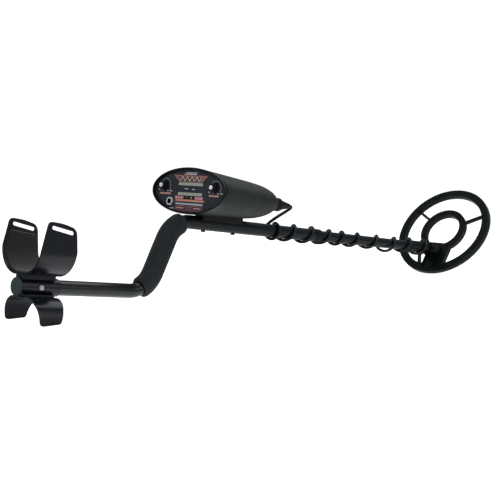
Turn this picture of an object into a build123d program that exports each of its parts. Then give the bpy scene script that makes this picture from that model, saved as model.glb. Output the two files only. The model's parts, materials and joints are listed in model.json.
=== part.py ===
"""Hand-held metal detector: a bent S-rod with a padded arm cup and stand, a control housing on a saddle,
a telescoping lower stem and a tilting open-ring search coil. Every piece is drawn in the stem frame and
written standing on the ground."""

from build123d import *
import os
from math import asin, atan2, cos, degrees, hypot, pi, radians, sin, sqrt, tan

# ---------------------------------------------------------------- driving dimensions, millimetres
# Stem frame: +X forward along the front tube's axis, +Y to the user's left, +Z up, X = 0 at the front
# rim of the control face.
CLEAR = 0.1  # gap between pieces that only touch

# S-rod: 7/8 inch tube bent twice
TUBE_R = 11.1
TUBE_WALL = 1.2
TUBE_BORE = TUBE_R - TUBE_WALL
REAR_Z = -113.3  # axis height of the rear tube
REAR_CORNER_X = -68.8
FRONT_CORNER_X = -23.0
BEND_R = 48.0
TUBE_REAR_X = -303.0
TUBE_FRONT_X = 318.0
RISE = degrees(atan2(-REAR_Z, FRONT_CORNER_X - REAR_CORNER_X))

# Foam grip on the rising part
GRIP_R = 17.0
GRIP_GAP = 0.2
GRIP_LOW_TURN = 27.0  # degrees into the lower bend where the foam starts
GRIP_HIGH_TURN = 22.0  # degrees before the end of the upper bend where it stops

# Arm rest: cup, sleeve and stand in one moulding
CUP_WIDTH = 95.0
CUP_WALL = 3.0
CUP_CORNER_R = 40.0
CUP_BOTTOM_Z = -97.0
CUP_SPAN = (-302.0, -241.0)
CUP_OUTLINE = [
    (-302, -99),
    (-301, -60),
    (-293, -20),
    (-270, -21.5),
    (-246, -27.5),
    (-241.5, -60),
    (-241, -99),
]
CUP_CORNER_RADII = (7.0, 13.0)
STRAP_SLOT = (39.0, 5.4)
STRAP_SLOT_AT = (-269.0, -31.0)
STRAP_SLOT_TURN = -9.5
SLEEVE_R = 12.9
SLEEVE_SPAN = (-303.0, -237.0)
WEB_WIDTH = 15.0
STAND_HALF_WIDTH = 43.3
STAND_WALL = 3.5
STAND_CORNER_R = 29.5
STAND_TOP_Z = -126.5
FOOT_Z = -162.3  # foot height below the front tube's axis, at the middle of the foot
FOOT_X = -271.0
FOOT_SPAN = (-287.5, -254.5)
FOOT_CORNER_R = 5.0
REST_SCREW_X = -271.0
REST_SCREW_R = 2.0
REST_SEAT_Y = 11.9
REST_HEAD_R = 3.8
REST_HEAD_THICK = 2.2
REST_NUT_R = 3.9
REST_SCREW_LENGTH = 27.2
CROSS_WIDTH = 1.0
NUT_THICK = 3.2
CAP_R = 12.8
CAP_THICK = 2.1
CAP_STUB = 11.0

# Arm pad
PAD_THICK = 2.6
PAD_OUTLINE = [(-299.5, -96), (-299, -60), (-292.5, -36.5), (-246.5, -41.5), (-243.5, -60), (-243, -96)]
PAD_CORNER_R = 6.0

# Control housing
HOUSING_LENGTH = 158.5
FACE_HALF_WIDTH = 83.95
FACE_HALF_HEIGHT = 37.25
HOUSING_Z = 48.7
TAPER_WIDTH = 0.07
TAPER_HEIGHT = 0.05
TAPER_RISE = -0.027
NOSE_POWER = 14
HOUSING_WALL = 2.5
NOSE_ANGLES = (10, 25, 40, 55, 70, 83)
FLANK_SECTIONS = 7
PANEL_DEPTH = 8.4
LIP_END_X = 13.4
LIP_WALL = 1.2
RIM_ROUND_FACE = 1.0
RIM_WALL = 3.2
LABEL_X = 5.3  # face sheet, set back inside the rim
LABEL_THICK = 0.6
LABEL_EDGE_GAP = 0.3

# Controls on the face: (y, z) from the stem axis
KNOB_Y = 57.0
KNOB_Z = 55.6
KNOB_SKIRT_R = 8.2
KNOB_FRONT_X = -5.6
KNOB_CAP_R = 3.4
KNOB_BACK_X = 4.9
KNOB_SKIRT_THICK = 2.0
KNOB_TAPER = (7.2, 6.0)
FLUTE_R = 0.9
FLUTES = 20
CAP_RECESS = 1.5
SHAFT_R = 3.0
SHAFT_SPAN = (-2.4, 17.9)
POT_BUSHING_R = 3.5
RUNNING = 0.06  # radial clearance of a turning shaft
WINDOW_SIZE = (55.0, 4.8)
WINDOW_Z = (59.6, 43.6)
LED_AT = (0.4, 52.0)
LED_R = 1.5
LED_GAP = 0.1
LED_SPAN = (4.6, 20.0)
POST_R = 2.0
WINDOW_THICK = 2.9
PIN_Y = 29.0
PIN_R = 0.8
SWITCH_SIZE = 6.0
SWITCH_FRONT_X = 10.3
KEY_SIZE = (19.0, 4.6)
KEY_Y = 19.5
KEY_Z = 21.1
KEY_GAP = 0.15
KEY_FLANGE = 0.5
KEY_FLANGE_THICK = 0.8
KEY_FRONT_X = 4.9
JACK_AT = (43.3, 30.7)
JACK_BORE_R = 3.25
JACK_THREAD_R = 4.4
JACK_NUT_R = 7.3
JACK_NUT_SPAN = (2.5, 5.2)
JACK_FRONT_X = 2.3
JACK_BODY = (21.5, 12.0, 12.0)
JACK_BORE_END_X = 27.0

# Housing saddle and its screws
SADDLE_SPAN = (30.0, 124.0)
SADDLE_WIDTH = 24.0
SADDLE_LOW_Z = 4.0
BOSS_R = 6.0
BOSS_TOP_Z = 19.0
SADDLE_HEAD_R = 3.6
SADDLE_HEAD_THICK = 2.6
SADDLE_NUT_R = 4.0
SADDLE_SCREWS_X = (42.5, 111.0)
SADDLE_SCREW_R = 2.0

# Circuit board, switches and displays behind the face
BOARD_SPAN = (20.1, 21.7)
BOARD_HALF_WIDTH = 68.0
BOARD_Z = (37.5, 63.0)
DISPLAY_SPAN = (8.5, 11.5)
DISPLAY_SIZE = (62.0, 9.2)
KEY_BOARD_SPAN = (14.0, 15.6)
POT_SPAN = (10.5, 19.5)
POT_R = 8.5

# Two 9 V batteries over a door in the left of the belly
BATTERY = (48.5, 26.5, 17.5)
BATTERY_AT = (69.25, 38.25)
BATTERY_LOW_Z = (29.0, 47.0)
DOOR_AT = (70.0, 38.5)
DOOR_SIZE = (56.0, 31.0)
DOOR_GAP = 0.3
DOOR_CORNER_R = 3.0
DOOR_DEPTH_Z = 38.0
RIB_SPREAD = 16.0
RIB_THICK = 1.6
RIB_LENGTH = 20.0
RIB_HEIGHT = 11.0
RIDGE_PITCH = 4.0
RIDGE_LENGTH = 16.0
RIDGE_WIDTH = 1.6
RIDGE_TOP_Z = 17.2
TERMINAL_R = 2.9
TERMINAL_LENGTH = 3.0
TERMINAL_SPREAD = 6.35
SNAP_SIZE = (2.4, 25.0, 12.5)

# Loudspeaker over holes in the belly
SPEAKER_AT = (121.0, 32.0)
SPEAKER_R = 15.0
SPEAKER_Z = 26.0
GRILLE_HOLE_R = 1.2
GRILLE_RINGS = ((5.0, 6), (10.0, 11))
LEAD_R = 0.6
SPEAKER_HEIGHT = 11.0
MAGNET_R = 8.0
MAGNET_THICK = 4.5
CONE_NECK_R = 4.0
SPEAKER_ROUTE = [(21.8, 20, 39.5), (96, 20, 39.5), (113.4, 28.3, 39.5)]
BATTERY_LEAD_Z = (42.0, 58.0)
BOARD_PARTS = [
    (-10, 52, 16, 12, 2),
    (20, 55, 8, 5, 1.6),
    (-50, 54, 10, 10, 8),
    (-60, 42, 7, 7, 9),
    (8, 42, 12, 5, 1.6),
]

# Coil socket and plug on the housing's nose
PLUG_Y = -40.0
PLUG_Z = 44.0
SOCKET_R = 7.0
SOCKET_SPAN = (143.0, 158.1)
SOCKET_FLANGE_X = 158.2
SOCKET_FLANGE_THICK = 2.4
SOCKET_FLANGE_R = 11.5
SOCKET_BOSS_R = 12.0
SOCKET_NUT_R = 10.0
RING_SPAN = (161.0, 172.0)
RING_RADII = (8.9, 11.2)
RING_KNURLS = 24
KNURL_R = 0.6
PLUG_SPAN = (160.7, 173.0)
PLUG_R = 8.8
BOOT_SPAN = (173.1, 199.0)
BOOT_RADII = (9.0, 4.0)
BOOT_RIBS = 5
BOOT_GROOVE = 1.4

# Lower stem and its lock
STEM_R = 9.525  # 3/4 inch tube
STEM_WALL = 1.2
STEM_SPAN = (117.5, 668.0)
COLLET_SPAN = (318.1, 333.0)
COLLET_R = 10.7
LOCK_R = 12.0
LOCK_SPAN = (318.4, 332.6)
TIP_R = 11.5
TIP_START_X = 614.0
TIP_SHOULDER_X = 676.0
TIP_CHAMFER = 1.5
PLUG_FLANGE = 4.0
PLUG_STUB = 12.0
LOCK_GROOVES = 30

# Coil: concentric rings on a web, tilted about a cross bolt at the stem's tip
COIL_X = 733.1
COIL_Z = 40.4
COIL_ANGLE = 59.8  # coil plane above the stem axis
COIL_R = 101.6  # 8 inch coil
COIL_THICK = 10.7
COIL_SPLIT = -5.4  # height of the joint between the two shells
RING_WIDTH = 15.6
INNER_RING_R = 49.6
INNER_HOLE_R = 36.7
SPOKE_ANGLE = 61.0
SPOKE_WIDTH = 4.6
SPOKE_HEIGHTS = (-9.0, -2.0)
RIM_ROUND = 2.0
PIVOT_HEIGHT = 17.0  # pivot above the coil's top face
EAR_R = 9.5
COIL_RIB_SPAN = (-91.0, -60.0)  # ribs that carry the ears' load to the outer ring
COIL_RIB_WIDTH = 3.0
COIL_RIB_RISE = 3.0
EAR_BASE = (-66.0, -42.0)
EYE_R = 8.5
EAR_THICK = 4.0
TONGUE_HALF = 8.0
WASHER_THICK = 1.3
BOLT_R = 3.1
EAR_IN_Y = TONGUE_HALF + WASHER_THICK
EAR_OUT_Y = EAR_IN_Y + EAR_THICK
BOLT_HEAD_R = 5.0
BOLT_HEAD_THICK = 1.2
BOLT_TAIL_Y = -22.0
WASHER_R = 8.0
LOBE_CUT_R = 2.4
THUMB_R = 8.0
THUMB_THICK = 7.5
THUMB_LOBES = 6
WEB_OUTLINE = [(-90, -32), (-40, -32), (-30, -10), (-30, 20), (-36, 36), (-58, 36), (-84, 25), (-92, 22)]
WINDOW_OUTLINE = [(-82.5, 10.5), (-82.5, 22.2), (-56, 33.2), (-56, 15.5)]
WINDOW_ROUND_R = 3.0
CHORD_E = -32.0
TX_GROOVE = (90.4, 97.6)
RX_GROOVE = (40.0, 46.4)
GROOVE_DEPTH = 3.2
WINDING_GAP = 0.3

# Coil cable, wound round the stem
CABLE_R = 2.6
WIND_TOPS_X = [201.0, 213.0, 263.0, 312.0, 362.0, 399.0, 446.0, 507.0, 565.0, 615.0, 670.0]
POINTS_PER_TURN = 12
CABLE_GAP = 0.2
GLAND_X = 694.0
GLAND_Y = 19.4
GLAND_Z = 3.0
GLAND_RADII = (4.2, 6.0)
GLAND_LENGTH = 24.0
LOOSE_X = 536.0  # a turn that hangs away from the stem
LOOSE_SPAN = 16.0
LOOSE_DROP = 3.0
ARC_SHARE = 0.45  # of the shorter run that an arc may take
CABLE_SPLIT_X = 345.0
LAST_STEP = 120
TIP_CLIMB = 14.0  # where the winding starts to widen for the stem's tip
PLUG_END_POINTS = [(199, -40, 44), (203.5, -40, 44), (207.4, -38.2, 42.7), (209.3, -34.6, 40), (206, 1, 18.6)]
TIP_END_POINTS = [
    (671.5, 0.5, 15.2),
    (677, 8.5, 15),
    (682, 15.5, 12.4),
    (685.2, 19.4, 7.5),
    (689, 19.4, 3),
    (694, 19.4, 3),
]

# ---------------------------------------------------------------- stance on the ground
along_coil = Vector(cos(radians(COIL_ANGLE)), 0, sin(radians(COIL_ANGLE)))
coil_up = Vector(-sin(radians(COIL_ANGLE)), 0, cos(radians(COIL_ANGLE)))
coil_centre = Vector(COIL_X, 0, COIL_Z)
coil_plane = Plane(origin=coil_centre, x_dir=along_coil, z_dir=coil_up)
rim_corner = coil_centre - along_coil * (COIL_R - RIM_ROUND) - coil_up * (COIL_THICK - RIM_ROUND)
reach = rim_corner.X - FOOT_X
drop = rim_corner.Z - FOOT_Z
PITCH = degrees(atan2(drop, reach) - asin(RIM_ROUND / hypot(reach, drop)))
pivot_along = -(COIL_Z + PIVOT_HEIGHT * coil_up.Z) / along_coil.Z
pivot = coil_centre + along_coil * pivot_along + coil_up * PIVOT_HEIGHT
PIVOT_X = pivot.X

pieces = []


def keep(builder, name):
    """Labels a finished piece and puts it on the list of pieces to write."""
    builder.part.label = name
    pieces.append(builder.part)


def across(x):
    """The plane square to the stem at x, with its own X to the user's left and its own Y up."""
    return Plane(origin=(x, 0, 0), x_dir=(0, 1, 0), z_dir=(1, 0, 0))

# ---------------------------------------------------------------- S-rod and foam grip
rod_corners = [
    (TUBE_REAR_X, 0, REAR_Z),
    (REAR_CORNER_X, 0, REAR_Z),
    (FRONT_CORNER_X, 0, 0),
    (TUBE_FRONT_X, 0, 0),
]

with BuildPart() as s_rod:
    with BuildLine():
        FilletPolyline(*rod_corners, radius=BEND_R)
    with BuildSketch(across(TUBE_REAR_X)):
        with Locations((0, REAR_Z)):
            Circle(TUBE_R)
            Circle(TUBE_BORE, mode=Mode.SUBTRACT)
    sweep()
    with BuildSketch(Plane.XZ):
        with Locations((REST_SCREW_X, REAR_Z)):
            Circle(REST_SCREW_R + CLEAR)
    extrude(amount=2 * TUBE_R, both=True, mode=Mode.SUBTRACT)
    with BuildSketch(Plane.XY):
        with Locations(*[(x, 0) for x in SADDLE_SCREWS_X]):
            Circle(SADDLE_SCREW_R + CLEAR)
    extrude(amount=2 * TUBE_R, both=True, mode=Mode.SUBTRACT)
keep(s_rod, "s_rod")

bend_tangent = BEND_R * tan(radians(RISE / 2))
low_bend_centre = Vector(REAR_CORNER_X - bend_tangent, 0, REAR_Z + BEND_R)
high_bend_centre = Vector(FRONT_CORNER_X + bend_tangent, 0, -BEND_R)
low_cut_dir = Vector(cos(radians(GRIP_LOW_TURN)), 0, sin(radians(GRIP_LOW_TURN)))
high_cut_dir = Vector(cos(radians(GRIP_HIGH_TURN)), 0, sin(radians(GRIP_HIGH_TURN)))

with BuildPart() as foam_grip:
    with BuildLine():
        FilletPolyline(*rod_corners, radius=BEND_R)
    with BuildSketch(across(TUBE_REAR_X)):
        with Locations((0, REAR_Z)):
            Circle(GRIP_R)
            Circle(TUBE_R + GRIP_GAP, mode=Mode.SUBTRACT)
    sweep()
    split(bisect_by=Plane(origin=low_bend_centre, z_dir=low_cut_dir), keep=Keep.TOP)
    split(bisect_by=Plane(origin=high_bend_centre, z_dir=high_cut_dir), keep=Keep.BOTTOM)
keep(foam_grip, "foam_grip")

# ---------------------------------------------------------------- arm rest: cup, stand and sleeve
CUP_HEIGHT = 4 * CUP_CORNER_R
STAND_HEIGHT = 4 * STAND_CORNER_R


def bent_strip(width, bottom_z, height, corner_r, thickness):
    """Draws a hollow rounded box on the current sketch; its lower half is a bent strip."""
    with Locations((0, bottom_z + height / 2)):
        RectangleRounded(width, height, corner_r)
        inner_size = (width - 2 * thickness, height - 2 * thickness)
        RectangleRounded(*inner_size, corner_r - thickness, mode=Mode.SUBTRACT)


with BuildPart() as cup:
    with BuildSketch(across(CUP_SPAN[0])):
        bent_strip(CUP_WIDTH, CUP_BOTTOM_Z, CUP_HEIGHT, CUP_CORNER_R, CUP_WALL)
    extrude(amount=CUP_SPAN[1] - CUP_SPAN[0])
    with BuildSketch(Plane.XZ) as wing_outline:
        with BuildLine():
            Polyline(*CUP_OUTLINE, close=True)
        make_face()
        rear_corner, top_middle, front_corner = CUP_OUTLINE[2:5]
        corners = (rear_corner, front_corner, top_middle)
        for corner, radius in zip(corners, CUP_CORNER_RADII + (2 * CUP_CORNER_R,)):
            fillet(wing_outline.vertices().sort_by_distance(corner + (0,))[0], radius)
    extrude(amount=CUP_WIDTH, both=True, mode=Mode.INTERSECT)
    with BuildSketch(Plane.XZ):
        with Locations(STRAP_SLOT_AT):
            SlotOverall(*STRAP_SLOT, rotation=STRAP_SLOT_TURN)
    extrude(amount=CUP_WIDTH, both=True, mode=Mode.SUBTRACT)

foot_rise = tan(radians(PITCH))
stand_outline = [
    (-297, -122),
    (-292, -142),
    (FOOT_SPAN[0], FOOT_Z + (FOOT_SPAN[0] - FOOT_X) * foot_rise),
    (FOOT_SPAN[1], FOOT_Z + (FOOT_SPAN[1] - FOOT_X) * foot_rise),
    (-250, -142),
    (-243, -122),
]

with BuildPart() as stand:
    with BuildSketch(across(CUP_SPAN[0])):
        bent_strip(2 * STAND_HALF_WIDTH, STAND_TOP_Z - STAND_HEIGHT, STAND_HEIGHT, STAND_CORNER_R, STAND_WALL)
    extrude(amount=CUP_SPAN[1] - CUP_SPAN[0])
    with BuildSketch(Plane.XZ) as leg_outline:
        with BuildLine():
            Polyline(*stand_outline, close=True)
        make_face()
        fillet(leg_outline.vertices().sort_by(Axis.Y)[:2], FOOT_CORNER_R)
    extrude(amount=CUP_WIDTH, both=True, mode=Mode.INTERSECT)

with BuildPart() as armrest:
    add(cup.part)
    add(stand.part)
    with BuildSketch(across(CUP_SPAN[0] + 1)):
        with Locations((0, (REAR_Z + CUP_BOTTOM_Z + CUP_WALL / 2) / 2)):
            Rectangle(WEB_WIDTH, CUP_BOTTOM_Z + CUP_WALL / 2 - REAR_Z)
        with Locations((0, (REAR_Z + STAND_TOP_Z - CUP_WALL / 2) / 2)):
            Rectangle(WEB_WIDTH, REAR_Z - STAND_TOP_Z + CUP_WALL / 2)
    extrude(amount=CUP_SPAN[1] - CUP_SPAN[0] - 4)
    with BuildSketch(across(SLEEVE_SPAN[0])):
        with Locations((0, REAR_Z)):
            Circle(SLEEVE_R)
    extrude(amount=SLEEVE_SPAN[1] - SLEEVE_SPAN[0])
    with BuildSketch(across(SLEEVE_SPAN[0])):
        with Locations((0, REAR_Z)):
            Circle(TUBE_R + CLEAR)
    extrude(amount=SLEEVE_SPAN[1] - SLEEVE_SPAN[0], mode=Mode.SUBTRACT)
    with BuildSketch(Plane.XZ):
        with Locations((REST_SCREW_X, REAR_Z)):
            Circle(REST_SCREW_R + CLEAR)
    extrude(amount=2 * SLEEVE_R, both=True, mode=Mode.SUBTRACT)
    with BuildSketch(Plane.XZ.offset(REST_SEAT_Y)):
        with Locations((REST_SCREW_X, REAR_Z)):
            Circle(REST_HEAD_R + CLEAR)
    extrude(amount=SLEEVE_R, mode=Mode.SUBTRACT)
    with BuildSketch(Plane.XZ.offset(-REST_SEAT_Y)):
        with Locations((REST_SCREW_X, REAR_Z)):
            RegularPolygon(REST_NUT_R + CLEAR, 6)
    extrude(amount=-SLEEVE_R, mode=Mode.SUBTRACT)
keep(armrest, "armrest")

with BuildPart() as arm_pad:
    with BuildSketch(across(CUP_SPAN[0])):
        bent_strip(
            CUP_WIDTH - 2 * CUP_WALL - 2 * CLEAR,
            CUP_BOTTOM_Z + CUP_WALL + CLEAR,
            CUP_HEIGHT - 2 * CUP_WALL,
            CUP_CORNER_R - CUP_WALL - CLEAR,
            PAD_THICK,
        )
    extrude(amount=CUP_SPAN[1] - CUP_SPAN[0])
    with BuildSketch(Plane.XZ) as pad_outline:
        with BuildLine():
            Polyline(*PAD_OUTLINE, close=True)
        make_face()
        fillet(pad_outline.vertices().sort_by(Axis.Y)[-2:], PAD_CORNER_R)
    extrude(amount=CUP_WIDTH, both=True, mode=Mode.INTERSECT)
keep(arm_pad, "arm_pad")

with BuildPart() as rear_cap:
    with BuildSketch(across(TUBE_REAR_X - CLEAR)):
        with Locations((0, REAR_Z)):
            Circle(CAP_R)
    extrude(amount=-CAP_THICK)
    fillet(rear_cap.faces().sort_by(Axis.X)[0].edges(), CAP_THICK / 3)
    with BuildSketch(across(TUBE_REAR_X - CLEAR)):
        with Locations((0, REAR_Z)):
            Circle(TUBE_BORE - CLEAR)
    extrude(amount=CAP_STUB)
keep(rear_cap, "rear_cap")

with BuildPart() as armrest_screw:
    with BuildSketch(Plane.XZ.offset(REST_SEAT_Y)):
        with Locations((REST_SCREW_X, REAR_Z)):
            Circle(REST_HEAD_R)
    extrude(amount=REST_HEAD_THICK)
    fillet(armrest_screw.faces().sort_by(Axis.Y)[0].edges(), REST_HEAD_THICK / 3)
    with BuildSketch(Plane.XZ.offset(REST_SEAT_Y + REST_HEAD_THICK)):
        with Locations((REST_SCREW_X, REAR_Z)):
            Rectangle(REST_HEAD_R, CROSS_WIDTH)
            Rectangle(CROSS_WIDTH, REST_HEAD_R)
    extrude(amount=-REST_HEAD_THICK / 2, mode=Mode.SUBTRACT)
    with BuildSketch(Plane.XZ.offset(REST_SEAT_Y)):
        with Locations((REST_SCREW_X, REAR_Z)):
            Circle(REST_SCREW_R)
    extrude(amount=-REST_SCREW_LENGTH)
keep(armrest_screw, "armrest_screw")

with BuildPart() as armrest_nut:
    with BuildSketch(Plane.XZ.offset(-REST_SEAT_Y)):
        with Locations((REST_SCREW_X, REAR_Z)):
            RegularPolygon(REST_NUT_R, 6)
            Circle(REST_SCREW_R + RUNNING, mode=Mode.SUBTRACT)
    extrude(amount=-NUT_THICK)
keep(armrest_nut, "armrest_nut")


# ---------------------------------------------------------------- control housing
def hull_section(x, inset, nose=1, mode=Mode.ADD):
    """Draws the housing's oval at x, inset from the outer surface, on the current sketch."""
    with Locations((0, HOUSING_Z + TAPER_RISE * x)):
        Ellipse(
            (FACE_HALF_WIDTH - TAPER_WIDTH * x - inset) * nose,
            (FACE_HALF_HEIGHT - TAPER_HEIGHT * x - inset) * nose,
            mode=mode,
        )


def hull_stations(start_x, inset):
    """Places of the housing's ovals and how far the blunt nose shrinks each one."""
    length = HOUSING_LENGTH - inset
    nose_x = [length * sin(radians(angle)) ** (2 / NOSE_POWER) for angle in NOSE_ANGLES]
    flank_x = [start_x + (nose_x[0] - start_x) * step / FLANK_SECTIONS for step in range(FLANK_SECTIONS)]
    flank = [(x, sqrt(1 - (x / length) ** NOSE_POWER)) for x in flank_x]
    return flank + [(x, cos(radians(angle))) for x, angle in zip(nose_x, NOSE_ANGLES)]


def face_openings():
    """Draws every opening of the control face on the current sketch."""
    with Locations((-KNOB_Y, KNOB_Z), (KNOB_Y, KNOB_Z)):
        Circle(POT_BUSHING_R + CLEAR)
    with Locations(JACK_AT):
        Circle(JACK_THREAD_R + CLEAR)
    with Locations(LED_AT):
        Circle(LED_R + LED_GAP)
    with Locations(*[(0, z) for z in WINDOW_Z]):
        Rectangle(*WINDOW_SIZE)
    with Locations((-KEY_Y, KEY_Z), (KEY_Y, KEY_Z)):
        Rectangle(KEY_SIZE[0] + 2 * KEY_GAP, KEY_SIZE[1] + 2 * KEY_GAP)


with BuildPart() as hull:
    for x, nose in hull_stations(PANEL_DEPTH, 0):
        with BuildSketch(across(x)):
            hull_section(x, 0, nose)
    loft()

with BuildPart() as hull_cavity:
    for x, nose in hull_stations(PANEL_DEPTH - CLEAR, HOUSING_WALL):
        with BuildSketch(across(x)):
            hull_section(x, HOUSING_WALL, nose)
    loft()

with BuildPart() as door_blank:
    with BuildSketch(Plane.XY):
        with Locations(DOOR_AT):
            RectangleRounded(*DOOR_SIZE, DOOR_CORNER_R)
    extrude(amount=DOOR_DEPTH_Z)

with BuildPart() as speaker_seat:
    with BuildSketch(Plane.XY):
        with Locations(SPEAKER_AT):
            Circle(SPEAKER_R + HOUSING_WALL)
            Circle(SPEAKER_R - 1, mode=Mode.SUBTRACT)
    extrude(amount=SPEAKER_Z - CLEAR)
    add(hull.part, mode=Mode.INTERSECT)

with BuildPart() as screw_bosses:
    with BuildSketch(Plane.XY):
        with Locations(*[(x, 0) for x in SADDLE_SCREWS_X]):
            Circle(BOSS_R)
    extrude(amount=BOSS_TOP_Z)
    add(hull.part, mode=Mode.INTERSECT)

with BuildPart() as housing_shell:
    add(hull.part)
    add(hull_cavity.part, mode=Mode.SUBTRACT)
    add(speaker_seat.part)
    add(screw_bosses.part)
    # boss round the coil socket
    with BuildSketch(across(SOCKET_SPAN[0] + NUT_THICK)):
        with Locations((PLUG_Y, PLUG_Z)):
            Circle(SOCKET_BOSS_R)
    extrude(amount=SOCKET_FLANGE_X - SOCKET_SPAN[0] - NUT_THICK - CLEAR)
    with BuildSketch(across(SOCKET_SPAN[0])):
        with Locations((PLUG_Y, PLUG_Z)):
            Circle(SOCKET_R + CLEAR)
    extrude(amount=SOCKET_FLANGE_X - SOCKET_SPAN[0], mode=Mode.SUBTRACT)
    with BuildSketch(Plane.XY):
        with Locations(*[(x, 0) for x in SADDLE_SCREWS_X]):
            Circle(SADDLE_SCREW_R + CLEAR)
    extrude(amount=HOUSING_Z, mode=Mode.SUBTRACT)
    with BuildSketch(Plane.XY):
        with Locations(SPEAKER_AT):
            Circle(GRILLE_HOLE_R)
            for ring_r, count in GRILLE_RINGS:
                with PolarLocations(ring_r, count):
                    Circle(GRILLE_HOLE_R)
    extrude(amount=SPEAKER_Z, mode=Mode.SUBTRACT)
    with BuildSketch(Plane.XY):
        with Locations(DOOR_AT):
            opening_size = (DOOR_SIZE[0] + 2 * DOOR_GAP, DOOR_SIZE[1] + 2 * DOOR_GAP)
            RectangleRounded(*opening_size, DOOR_CORNER_R + DOOR_GAP)
    extrude(amount=DOOR_DEPTH_Z, mode=Mode.SUBTRACT)
keep(housing_shell, "housing_shell")

with BuildPart() as battery_door:
    add(door_blank.part)
    add(hull.part, mode=Mode.INTERSECT)
    add(hull_cavity.part, mode=Mode.SUBTRACT)
    # two ribs that press the lower battery home
    with BuildSketch(Plane.XY.offset(BATTERY_LOW_Z[0] - CLEAR)):
        with Locations(*[(DOOR_AT[0] + side * RIB_SPREAD, BATTERY_AT[1]) for side in (-1, 1)]):
            Rectangle(RIB_THICK, RIB_LENGTH)
    extrude(amount=-RIB_HEIGHT)
    # finger ridges
    with BuildSketch(Plane.XY):
        door_rear = DOOR_AT[0] - DOOR_SIZE[0] / 2
        with Locations(*[(door_rear + step * RIDGE_PITCH, DOOR_AT[1]) for step in (1, 2, 3)]):
            SlotOverall(RIDGE_LENGTH, RIDGE_WIDTH, rotation=90)
    extrude(amount=RIDGE_TOP_Z, mode=Mode.SUBTRACT)
keep(battery_door, "battery_door")

with BuildPart() as face_panel:
    for x in (0, PANEL_DEPTH - CLEAR):
        with BuildSketch(across(x)):
            hull_section(x, 0)
    loft()
    fillet(face_panel.faces().sort_by(Axis.X)[0].edges(), RIM_ROUND_FACE)
    with BuildSketch(across(0)):
        hull_section(0, RIM_WALL)
    extrude(amount=LABEL_X + LABEL_THICK, mode=Mode.SUBTRACT)
    with BuildSketch(across(PANEL_DEPTH - CLEAR)):
        hull_section(LIP_END_X, HOUSING_WALL + CLEAR)
        hull_section(LIP_END_X, HOUSING_WALL + CLEAR + LIP_WALL, mode=Mode.SUBTRACT)
    extrude(amount=LIP_END_X - PANEL_DEPTH + CLEAR)
    with BuildSketch(across(PANEL_DEPTH - CLEAR)):
        with Locations((0, KEY_Z)):
            Circle(POST_R)
    extrude(amount=KEY_BOARD_SPAN[0] - PANEL_DEPTH)
    with BuildSketch(across(0)):
        face_openings()
    extrude(amount=PANEL_DEPTH, mode=Mode.SUBTRACT)
keep(face_panel, "face_panel")

with BuildPart() as face_label:
    with BuildSketch(across(LABEL_X)):
        hull_section(0, RIM_WALL + LABEL_EDGE_GAP)
    extrude(amount=LABEL_THICK - CLEAR)
    with BuildSketch(across(LABEL_X)):
        face_openings()
    extrude(amount=LABEL_THICK, mode=Mode.SUBTRACT)
keep(face_label, "face_label")

with BuildPart() as display_windows:
    with BuildSketch(across(LABEL_X + CLEAR)):
        with Locations(*[(0, z) for z in WINDOW_Z]):
            Rectangle(WINDOW_SIZE[0] - 2 * CLEAR, WINDOW_SIZE[1] - 2 * CLEAR)
    extrude(amount=WINDOW_THICK)
keep(display_windows, "display_windows")

with BuildPart() as display_modules:
    with BuildSketch(across(DISPLAY_SPAN[0])):
        with Locations(*[(0, z) for z in WINDOW_Z]):
            Rectangle(*DISPLAY_SIZE)
    extrude(amount=DISPLAY_SPAN[1] - DISPLAY_SPAN[0])
    with BuildSketch(across(DISPLAY_SPAN[1])):
        with Locations(*[(side * PIN_Y, z) for side in (-1, 1) for z in WINDOW_Z]):
            Circle(PIN_R)
    extrude(amount=BOARD_SPAN[0] - DISPLAY_SPAN[1] - CLEAR)
keep(display_modules, "display_modules")

with BuildPart() as indicator_led:
    with BuildSketch(across(LED_SPAN[0])):
        with Locations(LED_AT):
            Circle(LED_R)
    extrude(amount=LED_SPAN[1] - LED_SPAN[0])
    fillet(indicator_led.faces().sort_by(Axis.X)[0].edges(), LED_R * 0.8)
keep(indicator_led, "indicator_led")


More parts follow.
